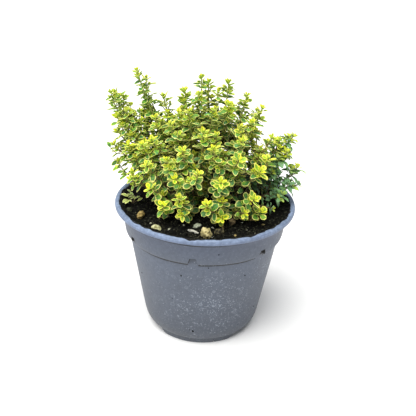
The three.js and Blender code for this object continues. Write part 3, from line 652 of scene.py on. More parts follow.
# Each kind's widths and arch at equal steps along it, how much its sides lift, and its number of columns
LEAF_KINDS = {
    "young": ([1.0, 3.2, 4.3, 3.7, 1.5], [0, 0.1, 0.3, 0.65, 1.1], 0.4, 2),
    "open": (FULL_WIDTHS, [0, 0.4, 0.5, 0.3, -0.2], 0.22, 4),
    "cupped": (FULL_WIDTHS, [0, -0.1, 0, 0.4, 1.0], 0.42, 4),
    "curled": (FULL_WIDTHS, [0, 0.6, 0.75, 0.3, -0.8], -0.3, 4),
    "spoon": ([0.6, 1.8, 3.8, 4.2, 1.7], [0, 0.3, 0.4, 0.3, 0.5], 0.3, 4),
    "narrow": ([0.6, 2.5, 3.3, 2.6, 0.7], [0, 0.4, 0.5, 0.4, -0.1], 0.25, 4),
    "narrow_young": ([0.6, 1.9, 2.5, 1.8, 0.6], [0, 0.1, 0.3, 0.6, 1.1], 0.4, 2),
}


def model_leaf(name, widths, arch, cup, columns):
    start_clean()
    rows = len(widths) - 1
    bpy.ops.mesh.primitive_grid_add(x_subdivisions=columns, y_subdivisions=rows, size=MM)
    leaf = bpy.context.object
    leaf.data.uv_layers[0].name = "leaf"
    bpy.ops.object.mode_set(mode="EDIT")
    bpy.ops.mesh.select_all(action="SELECT")
    bpy.ops.transform.resize(value=(1, LEAF_LENGTH, 1))
    bpy.ops.transform.translate(value=(0, LEAF_LENGTH / 2 * MM, 0))
    step = LEAF_LENGTH / rows
    for row, (width, lift) in enumerate(zip(widths, arch)):

        def in_row(point):
            return abs(point.y - row * step) < step * 0.2

        select_where(leaf, in_row)
        bpy.ops.transform.resize(value=(width, 1, 1), center_override=(0, row * step * MM, 0))
        bpy.ops.transform.translate(value=(0, 0, lift * MM))
        for side in (-1, 1):
            for column in range(1, columns // 2 + 1):
                share = column / (columns / 2)
                edge = share * width / 2
                select_where(leaf, lambda point: in_row(point) and abs(point.x * side - edge) < 0.02)
                bpy.ops.transform.translate(value=(0, 0, cup * edge * share * MM))
    bpy.ops.object.mode_set(mode="OBJECT")
    apply_modifier(leaf, "SOLIDIFY", thickness=LEAF_THICKNESS * MM, offset=-1)
    bpy.ops.object.shade_smooth_by_angle(angle=math.radians(50))
    lay_out_leaf(leaf.data)
    mesh = leaf.data
    mesh.name = name
    bpy.data.objects.remove(leaf)
    return mesh


def lay_out_leaf(mesh):
    """A map for baking: upper side at the left, underside at the right and the edge's faces between them."""
    leaf_map = mesh.uv_layers["leaf"]
    bake = mesh.uv_layers.new(name="OFBake")
    under = mesh.attributes.new("underside", "FLOAT", "FACE")
    sides = [face for face in mesh.polygons if abs(face.normal.z) < 0.35]
    for face in mesh.polygons:
        edge = face in sides
        below = face.normal.z < 0
        under.data[face.index].value = 1.0 if below and not edge else 0.0
        for corner, loop in enumerate(face.loop_indices):
            u, v = leaf_map.data[loop].uv
            if edge:
                up = sides.index(face) + 0.1 + 0.8 * (corner in (2, 3))
                place = (0.485 + 0.03 * (corner in (1, 2)), up / len(sides))
            else:
                place = (0.02 + 0.45 * u + 0.5 * below, 0.02 + 0.96 * v)
            bake.data[loop].uv = place


# Shoots
def bezier(ends, count):
    a, b, c, d = ends
    places = []
    for index in range(count + 1):
        t = index / count
        s = 1 - t
        places.append(a * s ** 3 + b * 3 * s * s * t + c * 3 * s * t * t + d * t ** 3)
    return places


class Line:
    """A polyline with its length along it, in millimetres."""

    def __init__(self, places):
        self.places = places
        self.at = [0.0]
        for one, other in zip(places, places[1:]):
            self.at.append(self.at[-1] + (other - one).length)
        self.length = self.at[-1]

    def point(self, distance):
        distance = max(0.0, min(self.length, distance))
        index = 1
        while index < len(self.at) - 1 and self.at[index] < distance:
            index += 1
        share = (distance - self.at[index - 1]) / max(1e-6, self.at[index] - self.at[index - 1])
        return self.places[index - 1].lerp(self.places[index], share)

    def ahead(self, distance):
        return (self.point(distance + 0.6) - self.point(distance - 0.6)).normalized()


def leader_line(foot, tip):
    level = soil_height(foot.x, foot.y)
    climb = tip.z - level
    flat = Vector((tip.x - foot.x, tip.y - foot.y, 0))
    ground = Vector((foot.x, foot.y, level))
    ends = (
        ground - UP * ROOT_DEPTH,
        ground + flat * 0.15 + UP * max(9, climb * 0.36),
        ground + flat * 0.76 + UP * max(8, climb * 0.7),
        tip,
    )
    return Line(bezier(ends, 14))


def side_line(leader, share, tip):
    """A side shoot that leaves its leader towards its tip and turns up to it."""
    start = leader.point(leader.length * share)
    along = leader.ahead(leader.length * share)
    reach = (tip - start).length
    outward = tip - start
    outward = (outward - along * outward.dot(along)).normalized()
    ends = (
        start,
        start + outward * reach * 0.24 + along * reach * 0.2,
        tip - UP * reach * 0.32 - outward * reach * 0.06,
        tip,
    )
    return Line(bezier(ends, 10))


def sprig_line(start, outward, ahead, length):
    """A short shoot from a leaf's axil, which bends up."""
    ends = (
        start,
        start + (outward * 0.7 + ahead * 0.7) * length * 0.35,
        start + (outward * 0.62 + ahead * 0.5 + UP * 0.35) * length * 0.75,
        start + (outward * 0.6 + ahead * 0.5 + UP * 0.6) * length * 0.95,
    )
    return Line(bezier(ends, 5))


class Plant:
    """What one leafy stem is made of: its twigs, and its leaves as (kind, matrix, age, tone, shade)."""

    def __init__(self, green, rng):
        self.twigs = []
        self.leaves = []
        self.green = green
        self.rng = rng

    def twig(self, line, thick, thin):
        points = []
        for place, at in zip(line.places, line.at):
            points.append((place, thick + (thin - thick) * at / line.length))
        self.twigs.append(points)

    def leaf(self, base, outward, ahead, length, rise, age, kept=False):
        """Adds a leaf, unless it would cut the pot's lip or the soil; kept marks the seedling's leaves."""
        rng = self.rng
        angle = math.radians(rise)
        along = (outward * math.cos(angle) + ahead * math.sin(angle)).normalized()
        above = (ahead * math.cos(angle) - outward * math.sin(angle)).normalized()
        tip = base + along * length
        radius = math.hypot(tip.x, tip.y)
        in_lip = radius > LIP_CLEAR_RADIUS and tip.z < LIP_CLEAR_HEIGHT
        if not kept and (in_lip or tip.z < soil_height(tip.x, tip.y) + SOIL_CLEARANCE):
            return
        across = along.cross(above)
        turn = Matrix((across, along, above)).transposed().to_4x4()
        roll = Matrix.Rotation(rng.gauss(0, 0.2), 4, "Y")
        size = length / LEAF_LENGTH
        # Leaves low on the plant are rounder
        low = max(0.0, min(1.0, (150 - tip.z) / 40))
        width = size * (0.9 + 0.1 * low) * rng.uniform(0.88, 1.12)
        if self.green:
            width = size * rng.uniform(0.92, 1.12) * (0.78 if kept else 1)
            kind = "narrow_young" if age < 0.2 else "narrow"
        elif length < 3.9:
            kind = "young"
        elif age < 0.45:
            kind = rng.choice(["cupped", "open", "cupped", "spoon"])
        else:
            kind = rng.choice(["open", "cupped", "curled", "spoon", "spoon"])
        scale = Matrix.Diagonal((width, size, size, 1))
        tone = rng.random()
        # Painted shade: leaves deep in the plant are darkened
        inside = 1 - Vector([(p - m) / h for p, m, h in zip(tip, DOME_MIDDLE, DOME_HALF)]).length
        shade = max(0.0, min(1.0, (inside - 0.06) / 0.34))
        self.leaves.append((kind, Matrix.Translation(base * MM) @ turn @ roll @ scale, age, tone, shade))

    def whorls(self, line, clear, bushy, order, size, base_age, tufts):
        """Crossed leaf pairs from the tip down to clear, with tufts and sprigs in their axils."""
        rng = self.rng
        side = rng.uniform(0, 90)
        broad = rng.uniform(0.78, 1.1)
        # The tallest shoots end in a tight bud
        tight = max(0.0, min(1.0, (line.places[-1].z - 150) / 15))
        for number, below in enumerate(PAIR_BELOW):
            at = line.length - below * (0.92 + 0.16 * rng.random())
            if at < clear:
                break
            middle = line.point(at)
            ahead = line.ahead(at)
            lifted = (ahead + UP * 0.35).normalized()
            first = Vector((math.cos(math.radians(side)), math.sin(math.radians(side)), 0))
            first = (first - ahead * first.dot(ahead)).normalized()
            other = ahead.cross(first)
            age = min(1.0, base_age + number / 8 + rng.uniform(-0.08, 0.08))
            for turn in (0, 180):
                angle = math.radians(turn + number % 2 * 90 + rng.gauss(0, 9))
                outward = first * math.cos(angle) + other * math.sin(angle)
                length = PAIR_LENGTH[number] * size * rng.uniform(0.88, 1.12)
                length *= broad if number <= BUD_PAIRS else 1
                rise = PAIR_RISE[number] + rng.gauss(0, 8)
                if number < BUD_PAIRS:
                    length *= 1 - 0.25 * tight
                    rise += 12 * tight
                self.leaf(middle + outward * 0.5, outward, lifted, length, rise, max(0.0, age))
                if number < BUD_PAIRS:
                    continue
                if order < 1 and number > BUD_PAIRS and rng.random() < bushy:
                    reach = min(15.0 - 4 * tight, max(3.5, below * rng.uniform(0.3, 0.55)))
                    sprig = sprig_line(middle, outward, ahead, reach)
                    self.twig(sprig, 0.42, 0.3)
                    sprig_age = base_age + (0.22 if self.green else 0.06)
                    self.whorls(sprig, 2.0, 0, order + 1, 0.88 * size, sprig_age, tufts)
                elif rng.random() < tufts:
                    reach = rng.uniform(2.8, 4.2) * size
                    self.tuft(middle + outward * 0.7, outward, lifted, reach, age * 0.5)

    def tuft(self, start, outward, ahead, length, age):
        """A pair of small leaves in a leaf's axil."""
        rng = self.rng
        across = ahead.cross(outward)
        centre = (outward * 0.6 + ahead * 0.8).normalized()
        for turn in (-80, 75):
            angle = math.radians(turn + rng.gauss(0, 14))
            way = (outward * math.cos(angle) + across * math.sin(angle)).normalized()
            reach = length * rng.uniform(0.8, 1.2)
            self.leaf(start + centre * 0.5, way, centre, reach, 38 + rng.gauss(0, 10), age)


def foot_of(node):
    """Where a stem stands: the middle of the lowest ring of its CAD node, at the soil."""
    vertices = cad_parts[node].data.vertices
    low = min(vertex.co.z for vertex in vertices)
    ring = [vertex.co for vertex in vertices if vertex.co.z < low + 0.8 * MM]
    middle = sum(ring, Vector()) / len(ring) / MM
    return Vector((middle.x, middle.y, 0))


def seeded_stream(seed):
    """The same stream of numbers from 0 to 1 that spreads the back stems in the solids."""
    state = seed & 0xFFFFFFFF
    while True:
        state = (state + 0x6D2B79F5) & 0xFFFFFFFF
        mixed = ((state ^ (state >> 15)) * (state | 1)) & 0xFFFFFFFF
        mixed ^= (mixed + ((mixed ^ (mixed >> 7)) * (mixed | 61) & 0xFFFFFFFF)) & 0xFFFFFFFF
        yield ((mixed ^ (mixed >> 14)) & 0xFFFFFFFF) / 4294967296


def back_tips():
    stems = []
    for index in range(BACK_STEMS):
        draws = seeded_stream(SEED + 5000 + index)
        tips = []
        for branch in range(2):
            bearing = math.radians(8 + (index + 0.5) / BACK_STEMS * 164 + branch * 9)
            height = index * GOLDEN_TURN / 360 % 1
            rise = math.radians(2 + 60 * height + branch * (-17 if height > 0.5 else 15))
            reach = 0.86 + 0.14 * next(draws)
            way = (math.cos(bearing) * math.cos(rise), math.sin(bearing) * math.cos(rise), math.sin(rise))
            tips.append(tuple(round(m + reach * h * w) for m, h, w in zip(DOME_MIDDLE, DOME_HALF, way)))
        stems.append(tips)
    return stems


def grow(node, tips, green, number):
    rng = random.Random(SEED + number * 17)
    plant = Plant(green, rng)
    foot = foot_of(node)
    tips = [Vector(tip) for tip in tips]
    leader = leader_line(foot, tips[0])
    plant.twig(leader, 0.95, 0.45)
    low = tips[0].z < LOW_STEM
    bare = ROOT_DEPTH + BARE_FOOT + max(0.0, (leader.length - LEAFY_LENGTH) * 0.45)
    usual = GREEN_BUSHINESS if green else LOW_BUSHINESS if low else USUAL_BUSHINESS
    bushy = BUSHINESS.get(node, usual)
    size = STEM_SIZE.get(node, 1.12 if green else 1.0)
    tufts = 0.4 if low else 0.5 if green else 0.7
    if low and not green:
        bare = max(bare, leader.length - LEAFY_BELOW.get(node, USUAL_LEAFY_BELOW))
    # Low green shoots have no yellow tips
    base_age = 0.3 if green and tips[0].z < 120 else 0.0
    plant.whorls(leader, bare, bushy, 0, size, base_age, tufts)
    for name, share, points, leaf_tip in LONE_LEAVES:
        if name == node:
            stalk = [leader.point(leader.length * share)] + [Vector(point) for point in points]
            plant.twig(Line(stalk), 0.3, 0.22)
            along = Vector(leaf_tip) - stalk[-1]
            plant.leaf(stalk[-1], along.normalized(), Vector((0.3, -0.9, 0.3)), along.length, 0, 0.8)
    base = soil_height(foot.x, foot.y)
    for tip in tips[1:] + [Vector(tip) for tip in EXTRA_TIPS.get(node, [])]:
        share = min(0.75, max(0.25, (tip.z - base) / (tips[0].z - base) * 0.55))
        side = side_line(leader, share, tip)
        plant.twig(side, 0.6, 0.36)
        clear = max(BARE_FOOT, side.length - LOW_SIDE_LEAFY) if low and not green else BARE_FOOT
        plant.whorls(side, clear, bushy, 0, 0.96 * size, base_age, tufts)
    return plant


def grow_seedling(node, number):
    """A seedling that has branched at the soil: a small leaf at the end of each short stalk."""
    rng = random.Random(SEED + number * 17)
    plant = Plant(True, rng)
    foot = foot_of(node)
    ground = Vector((foot.x, foot.y, soil_height(foot.x, foot.y)))
    for start, tip in SEEDLING_LEAVES:
        start, tip = Vector(start), Vector(tip)
        lift = ground.lerp(start, 0.4) + UP * 1.5
        plant.twig(Line(bezier((ground - UP * 3, lift, start.lerp(lift, 0.4), start), 6)), 0.32, 0.2)
        along = (tip - start).normalized()
        above = Vector((0, -0.45, 0.89))
        above = (above - along * above.dot(along)).normalized()
        plant.leaf(start, along, above, (tip - start).length, 0, rng.uniform(0.2, 0.6), True)
    return plant


def build_plant(plant, node, kinds, materials):
    """Joins a stem's twigs with a copy of a modelled leaf at each place."""
    rows = math.ceil(math.sqrt(len(plant.leaves) / 0.9))
    pieces = []
    for number, (kind, matrix, age, tone, shade) in enumerate(plant.leaves):
        mesh = kinds[kind].copy()
        mesh.transform(matrix)
        for name, value in (("leaf_age", age), ("leaf_tone", tone), ("leaf_shade", shade)):
            attribute = mesh.attributes.new(name, "FLOAT", "POINT")
            attribute.data.foreach_set("value", np.full(len(mesh.vertices), value, np.float32))
        bake = mesh.uv_layers["OFBake"]
        uv = np.empty(len(mesh.loops) * 2, np.float32)
        bake.data.foreach_get("uv", uv)
        cell = np.array([number % rows, number // rows])
        uv = (uv.reshape(-1, 2) * 0.94 + 0.03 + cell) / rows * (1, 0.9)
        bake.data.foreach_set("uv", uv.ravel().astype(np.float32))
        mesh.materials.append(materials[0])
        pieces.append(new_object("leaf", mesh))
    stem = tubes("twigs", plant.twigs)
    lay_out_twigs(stem.data)
    stem.data.materials.append(materials[1])
    choose(stem)
    bpy.ops.object.shade_smooth()
    whole = join([stem] + pieces, node + "_leafy")
    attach(whole, "root")
    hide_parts(node)


def lay_out_twigs(mesh):
    """Each face of the twigs gets its own small cell in the top strip of the map for baking."""
    while mesh.uv_layers:
        mesh.uv_layers.remove(mesh.uv_layers[0])
    mesh.uv_layers.new(name="leaf")
    bake = mesh.uv_layers.new(name="OFBake")
    across = math.ceil(math.sqrt(len(mesh.polygons) * 10))
    down = math.ceil(len(mesh.polygons) / across)
    corners = ((0.15, 0.15), (0.85, 0.15), (0.85, 0.85), (0.15, 0.85))
    for face in mesh.polygons:
        cell = (face.index % across, face.index // across)
        for corner, loop in enumerate(face.loop_indices):
            u, v = corners[corner % 4]
            bake.data[loop].uv = ((cell[0] + u) / across, 0.905 + 0.09 * (cell[1] + v) / down)


# Materials
def leaf_material(name, colours, margin_old, margin_young, plain):
    """Living thyme leaf: a thin waxy blade, matt and a little translucent, with its colour in zones.
    The eye sees a green middle, in two tones that meet in blotches, and a pale margin of uneven width."""
    material, shader, add = new_material(name)
    young_green, old_green, second_green, young_edge, old_edge, pale = colours
    place = add("TexCoord", output="Object")
    uv = add("UVMap", uv_map="leaf")
    u, v = add("SeparateXYZ", [uv], output=("X", "Y"))
    age = add("Attribute", output="Fac", attribute_name="leaf_age")
    tone = add("Attribute", output="Fac", attribute_name="leaf_tone")
    shade = add("Attribute", output="Fac", attribute_name="leaf_shade")
    under = add("Attribute", output="Fac", attribute_name="underside")
    centred = add("Math", [u, 2.0, -1.0], operation="MULTIPLY_ADD")
    across = add("Math", [centred], operation="ABSOLUTE")
    tip = add("MapRange", [v, 0.55, 1.0, 0.0, 1.0])
    edge = add("Math", [across, tip, 0.25], operation="SMOOTH_MAX")
    # Blotches about 1.3 mm across make the margin's width uneven
    blotch = add("TexNoise", {"Vector": place, "Scale": 760.0, "Detail": 1.5})
    warped = add("Math", [blotch, 0.55, edge], operation="MULTIPLY_ADD")
    limit = add("MapRange", [age, 0.0, 0.45, margin_young, margin_old])
    spread = add("Math", [tone, 0.22, limit], operation="MULTIPLY_ADD")
    beyond = add("Math", [warped, spread], operation="SUBTRACT")
    margin = add("MapRange", [beyond, -0.05, 0.12, 0.0, 1.0])
    ripe = add("MapRange", [age, 0.28 if plain else 0.1, 0.55, 0.0, 1.0])
    greens = add("Mix", {"Factor": ripe, 6: young_green, 7: old_green}, data_type="RGBA")
    # The second green lies in patches about 2.4 mm across
    patches = add("TexNoise", {"Vector": place, "Scale": 420.0, "Detail": 1.0})
    patched = add("MapRange", [patches, 0.5, 0.62, 0.0, 0.75])
    if plain:
        patched = add("Math", [patched, ripe], operation="MULTIPLY")
    middle = add("Mix", {"Factor": patched, 6: greens, 7: second_green}, data_type="RGBA")
    edges = add("Mix", {"Factor": ripe, 6: young_edge, 7: old_edge}, data_type="RGBA")
    zoned = add("Mix", {"Factor": margin, 6: middle, 7: edges}, data_type="RGBA")
    rib = add("MapRange", [across, 0.04, 0.16, 0.3, 0.0])
    ribbed = add("Mix", {"Factor": rib, 6: zoned, 7: pale}, data_type="RGBA")
    faded = add("Math", [under, 0.6], operation="MULTIPLY")
    sided = add("Mix", {"Factor": faded, 6: ribbed, 7: pale}, data_type="RGBA")
    bright = add("MapRange", [tone, 0.0, 1.0, 0.92, 1.26])
    # Painted shade: leaves deep in the plant are darkened by their leaf_shade
    dark = add("MapRange", [shade, 0.0, 1.0, 1.0, 0.45])
    value = add("Math", [bright, dark], operation="MULTIPLY")
    varied = add("HueSaturation", {"Color": sided, "Value": value})
    # Side veins stand about 0.7 mm apart and slant to the tip
    slant = add("Math", [across, -0.35, v], operation="MULTIPLY_ADD")
    veins = add("Math", [slant, 50.0], operation="MULTIPLY")
    wave = add("Math", [veins], operation="SINE")
    bump = add("Bump", {"Height": wave, "Strength": 0.25, "Distance": 0.00008})
    set_inputs(shader, {
        "Base Color": varied, "Normal": bump, "Roughness": 0.46 if plain else 0.5, "Specular IOR Level": 0.4,
        "Subsurface Weight": 0.06, "Subsurface Radius": (0.5, 1.0, 0.15), "Subsurface Scale": 0.0008,
    })
    return material


def stem_material():
    """Thyme stem: dull and finely downy, green and olive at the top, brown wood near the soil."""
    material, shader, add = new_material("thyme_stem_skin")
    place = add("TexCoord", output="Object")
    height = add("SeparateXYZ", [place], output="Z")
    mottle = add("TexNoise", {"Vector": place, "Scale": 240.0, "Detail": 3.0})
    shifted = add("Math", [mottle, 0.05, height], operation="MULTIPLY_ADD")
    share = add("MapRange", [shifted, 0.115, 0.19, 0.0, 1.0])
    stops = [(0.0, "#463c2a"), (0.3, "#6c5c3c"), (0.7, "#857c40"), (1.0, "#93a04c")]
    colour = add("ValToRGB", [share], stops=stops)
    grain = add("TexNoise", {"Vector": place, "Scale": 3000.0})
    bump = add("Bump", {"Height": grain, "Strength": 0.3, "Distance": 0.0001})
    set_inputs(shader, {"Base Color": colour, "Normal": bump, "Roughness": 0.62})
    return material


def pale_lip_streaks(add, flat, radius, height, mottle):
    """Pale streaks of about 1 mm drawn round the lip, strongest on its top."""
    on_lip = add("MapRange", [height, 0.0955, 0.099, 0.0, 0.5])
    along_lip = add("VectorMath", [flat, (0.06, 0.06, 0.0)], operation="MULTIPLY")
    across_lip = add("CombineXYZ", [radius, height])
    lip_place = add("VectorMath", [across_lip, along_lip], operation="ADD")
    lines = add("TexNoise", {"Vector": lip_place, "Scale": 900.0, "Detail": 2.0})
    lined = add("Math", [lines, mottle], operation="ADD")
    streaked = add("MapRange", [lined, 0.92, 1.24, 0.0, 1.0])
    return add("Math", [on_lip, streaked], operation="MULTIPLY")


def from_notch(add, x, y):
    """How far along the wall a point lies from the middle of the nearest notch, with its sign."""
    toward = add("Math", [y, -1.0], operation="MULTIPLY")
    bearing = add("Math", [x, toward], operation="ARCTAN2")
    start = 0.5 - NOTCH_FIRST / 360 * NOTCHES
    turns = add("Math", [bearing, NOTCHES / (2 * math.pi), start], operation="MULTIPLY_ADD")
    part_turn = add("Math", [turns], operation="FRACT")
    pitch = COLLAR_FOOT_RADIUS * MM * 2 * math.pi / NOTCHES
    return add("Math", [part_turn, pitch, -pitch / 2], operation="MULTIPLY_ADD")


def crease_shade(add, height, radius, cloud, aside):
    """Painted shade: dark bands in the crease under the lip and, between the notches, under the collar."""
    ragged = add("Math", [cloud, 0.0016, height], operation="MULTIPLY_ADD")
    bands = []
    for crease, half_width in ((0.0936, 0.0008), (0.0766, 0.0011)):
        off_crease = add("Math", [ragged, crease], operation="SUBTRACT")
        distance = add("Math", [off_crease], operation="ABSOLUTE")
        bands.append(add("MapRange", [distance, half_width * 0.8, half_width * 1.4, 0.88, 0.0]))
    between = add("Math", [aside, 0.0036], operation="GREATER_THAN")
    collar_band = add("Math", [between, bands[1]], operation="MULTIPLY")
    creases = add("Math", [bands[0], collar_band], operation="MAXIMUM")
    inward = add("MapRange", [radius, 0.0605, 0.0612, 1.0, 0.0])
    return add("Math", [creases, inward], operation="MULTIPLY")


def notch_shade(add, x, height, along, aside):
    """Painted shade in the notches: at the top and the left side of the front one, and all over the others,
    most of all low down.
    """
    half = add("MapRange", [height, 0.0763, 0.0816, 0.0037, 0.0021])
    top = add("MapRange", [height, 0.0799, 0.0806, 0.0, 0.9])
    from_left = add("Math", [along, half], operation="ADD")
    left = add("MapRange", [from_left, 0.0003, 0.0009, 0.9, 0.0])
    front = add("Math", [top, left], operation="MAXIMUM")
    low = add("MapRange", [height, 0.0794, 0.0800, 0.97, 0.9])
    off_front = add("Math", [x], operation="ABSOLUTE")
    beside = add("MapRange", [off_front, 0.02, 0.03, 0.0, 1.0])
    shaded = add("Mix", {"Factor": beside, 2: front, 3: low}, data_type="FLOAT")
    bounds = [(aside, half, "LESS_THAN"), (height, 0.0764, "GREATER_THAN"), (height, 0.0818, "LESS_THAN")]
    for value, bound, test in bounds:
        within = add("Math", [value, bound], operation=test)
        shaded = add("Math", [shaded, within], operation="MULTIPLY")
    return shaded


def clinging_soil(add, place, y, height, radius):
    """Where soil clings to the lip's inner shoulder, up to a wavy edge."""
    waves = add("TexNoise", {"Vector": place, "Scale": 80.0, "Detail": 2.0})
    waved = add("Math", [waves, -0.0064, radius], operation="MULTIPLY_ADD")
    skewed = add("Math", [y, 0.03, waved], operation="MULTIPLY_ADD")
    inner = add("MapRange", [skewed, 0.0582, 0.0585, 1.0, 0.0])
    on_top = add("MapRange", [height, 0.0970, 0.0974, 0.0, 1.0])
    return add("Math", [inner, on_top], operation="MULTIPLY")


def dried_lime(add, place):
    """How thick dried lime lies, with its specks alone: most of it low at the front and at the right."""
    patches = []
    for middle, reach, most in (((0.008, -0.048, 0.036), 0.056, 0.9), ((0.046, -0.03, 0.062), 0.034, 0.7)):
        away = add("VectorMath", [place, middle], operation="DISTANCE")
        patches.append(add("MapRange", [away, 0.004, reach, most, 0.0]))
    where = add("Math", patches, operation="MAXIMUM")
    patchy = add("TexNoise", {"Vector": place, "Scale": 95.0, "Detail": 3.0})
    mask = add("Math", [where, 0.2], operation="ADD")
    patched = add("Math", [mask, patchy], operation="MULTIPLY")
    # Specks 0.3 to 1.2 mm across
    fine = add("TexNoise", {"Vector": place, "Scale": 920.0, "Detail": 2.0})
    raised = add("Math", [patched, 0.27, fine], operation="MULTIPLY_ADD")
    specks = add("MapRange", [raised, 0.69, 0.82, 0.0, 0.55])
    # Scuffs: noise drawn out along the wall
    drawn = add("Mapping", {0: place, "Scale": (260.0, 260.0, 900.0), "Rotation": (0.3, 0.5, 0)})
    scuff = add("TexNoise", {"Vector": drawn, "Scale": 1.0, "Detail": 2.0})
    scuffs = add("MapRange", [scuff, 0.70, 0.76, 0.0, 0.35])
    # Rings of about 3 mm, left where drops dried
    to_drop, drop_colour = add("TexVoronoi", {"Vector": place, "Scale": 210.0}, output=("Distance", "Color"))
    off_ring = add("Math", [to_drop, 0.3], operation="SUBTRACT")
    beside_ring = add("Math", [off_ring], operation="ABSOLUTE")
    rings = add("MapRange", [beside_ring, 0.02, 0.11, 0.36, 0.0])
    draw = add("SeparateColor", [drop_colour])
    chosen = add("MapRange", [draw, 0.8, 0.84, 0.0, 1.0])
    for share in (chosen, where):
        rings = add("Math", [rings, share], operation="MULTIPLY")
    marks = add("Math", [specks, scuffs], operation="MAXIMUM")
    return add("Math", [marks, rings], operation="MAXIMUM"), specks


def pot_material():
    """Injection-moulded polypropylene, slate blue-grey: a satin skin with a fine moulded grain.
    Use has left it dusty: dried lime in pale specks and rings, and short scuffs; the creases and the notches
    are darkened with painted shade."""
    material, shader, add = new_material("moulded_polypropylene")
    place = add("TexCoord", output="Object")
    x, y, height = add("SeparateXYZ", [place], output=("X", "Y", "Z"))
    flat = add("CombineXYZ", [x, y])
    radius = add("VectorMath", [flat], operation="LENGTH")
    along = from_notch(add, x, y)
    aside = add("Math", [along], operation="ABSOLUTE")
    # The wall's colour by height: painted light makes the very foot lighter, against the shade near the
    # floor, and painted shade makes the collar under the lip a little darker; the body is darker towards the
    # bottom and the lip lighter and bluer
    stops = [
        (0.0, "#5c6169"), (0.09, "#4f545d"), (0.16, "#4b515c"), (0.5, "#525966"), (0.755, "#565e6d"),
        (0.78, "#535a67"), (0.945, "#555d6f"), (0.955, "#626f89"), (1.0, "#71809a"),
    ]
    share = add("MapRange", [height, 0.0, 0.1, 0.0, 1.0])
    skin = add("ValToRGB", [share], stops=stops)
    cloud = add("TexNoise", {"Vector": place, "Scale": 38.0, "Detail": 3.0})
    lifted = add("MapRange", [cloud, 0.3, 0.7, 0.92, 1.08])
    # Mottling 2 mm across
    mottle = add("TexNoise", {"Vector": place, "Scale": 430.0, "Detail": 4.0})
    dotted = add("MapRange", [mottle, 0.3, 0.7, 0.88, 1.12])
    value = add("Math", [lifted, dotted], operation="MULTIPLY")
    colour = add("HueSaturation", {"Color": skin, "Value": value})
    lip_streaks = pale_lip_streaks(add, flat, radius, height, mottle)
    # Painted shade: dark bands in the crease under the lip and under the collar
    painted_crease_shade = crease_shade(add, height, radius, cloud, aside)
    # Painted shade: the notches are darkened inside
    painted_notch_shade = notch_shade(add, x, height, along, aside)
    # Painted shade from the creases and the notches, laid on in near-black
    painted_shade = add("Math", [painted_crease_shade, painted_notch_shade], operation="MAXIMUM")
    soiled = clinging_soil(add, place, y, height, radius)
    limed, specks = dried_lime(add, place)
    for cover, tint in ((lip_streaks, "#97a8c5"), (painted_shade, "#1a1814"), (soiled, "#0b0907"), (limed, "#9aa2af")):
        colour = add("Mix", {"Factor": cover, 6: colour, 7: tint}, data_type="RGBA")
    satin = add("MapRange", [cloud, 0.3, 0.7, 0.44, 0.58])
    roughness = add("Math", [satin, soiled], operation="MAXIMUM")
    grain = add("TexNoise", {"Vector": place, "Scale": 1500.0, "Detail": 2.0})
    relief = add("Math", [specks, 1.5, grain], operation="MULTIPLY_ADD")
    bump = add("Bump", {"Height": relief, "Strength": 0.25, "Distance": 0.0002})
    finish = {"Base Color": colour, "Normal": bump, "Roughness": roughness, "Specular IOR Level": 0.42}
    set_inputs(shader, finish)
    return material


def earth_material(name, dark, light, fleck):
    """Damp peat: near-black crumbs with brown fibre in them, dull all over."""
    material, shader, add = new_material(name)
    place = add("TexCoord", output="Object")
    crumbs = add("TexNoise", {"Vector": place, "Scale": 640.0, "Detail": 5.0})
    colour = add("ValToRGB", [crumbs], stops=[(0.4, dark), (0.57, light), (0.68, fleck)])
    bump = add("Bump", {"Height": crumbs, "Strength": 0.7, "Distance": 0.0006})
    set_inputs(shader, {"Base Color": colour, "Normal": bump, "Roughness": 0.86, "Specular IOR Level": 0.12})
    return material


def stone_material(name, dark, light, pit, grit):
    """Rough porous grit: a chalky matt face with darker pits and lighter crests."""
    material, shader, add = new_material(name)
    place = add("TexCoord", output="Object")
    mottle = add("TexNoise", {"Vector": place, "Scale": grit, "Detail": 5.0})
    colour = add("ValToRGB", [mottle], stops=[(0.34, pit), (0.46, dark), (0.66, light)])
    bump = add("Bump", {"Height": mottle, "Strength": 0.8, "Distance": 0.0005})
    set_inputs(shader, {"Base Color": colour, "Normal": bump, "Roughness": 0.85, "Specular IOR Level": 0.3})
    return material


# Build the pieces
pot = finished(model_pot(), "nursery_pot", "pot_plastic", ["pot"], [pot_material()])

peat = earth_material("damp_peat", "#040403", "#10100b", "#3d3e31")
crumbs = [crumb_mesh(seed, 2) for seed in range(4)]
grains = [crumb_mesh(seed, 1) for seed in range(4)]
soil = finished(model_soil(), "potting_soil_fill", "potting_soil", ["soil"], [peat])
dark_crumbs = scattered_crumbs("soil_crumbs", 460, (0.5, 1.9), SEED + 5, crumbs, 10)
finished(dark_crumbs, "soil_crumbs", "potting_soil", (), [peat])
fibre = earth_material("peat_fibre", "#1d1a13", "#3b3629", "#6a634f")
finished(model_fibres(), "soil_fibres", "potting_soil", (), [fibre])
brown = earth_material("dry_peat", "#26261c", "#4e4e3b", "#83806a")
dry_grains = scattered_crumbs("dry_peat_grains", 900, (0.25, 0.85), SEED + 7, grains, 10)
finished(dry_grains, "dry_peat_grains", "potting_soil", (), [brown])
finished(model_dirt_specks(crumbs), "dirt_specks", "potting_soil", (), [peat])
perlite = stone_material("perlite_grain", "#a3a58c", "#d8d8cb", "#6f6d52", 700.0)
pale_crumbs = scattered_crumbs("perlite_crumbs", 34, (0.3, 0.6), SEED + 9, grains, 22)
finished(pale_crumbs, "perlite_crumbs", "pale_stone", (), [perlite])
finished(grit_bits("perlite_bits", PALE_BITS, crumbs), "perlite_bits", "pale_stone", (), [perlite])
grit = stone_material("ochre_grains", "#8f7b48", "#bfae78", "#4a3f22", 600.0)
finished(grit_bits("ochre_bits", TAN_BITS, crumbs), "ochre_bits", "tan_stone", (), [grit])

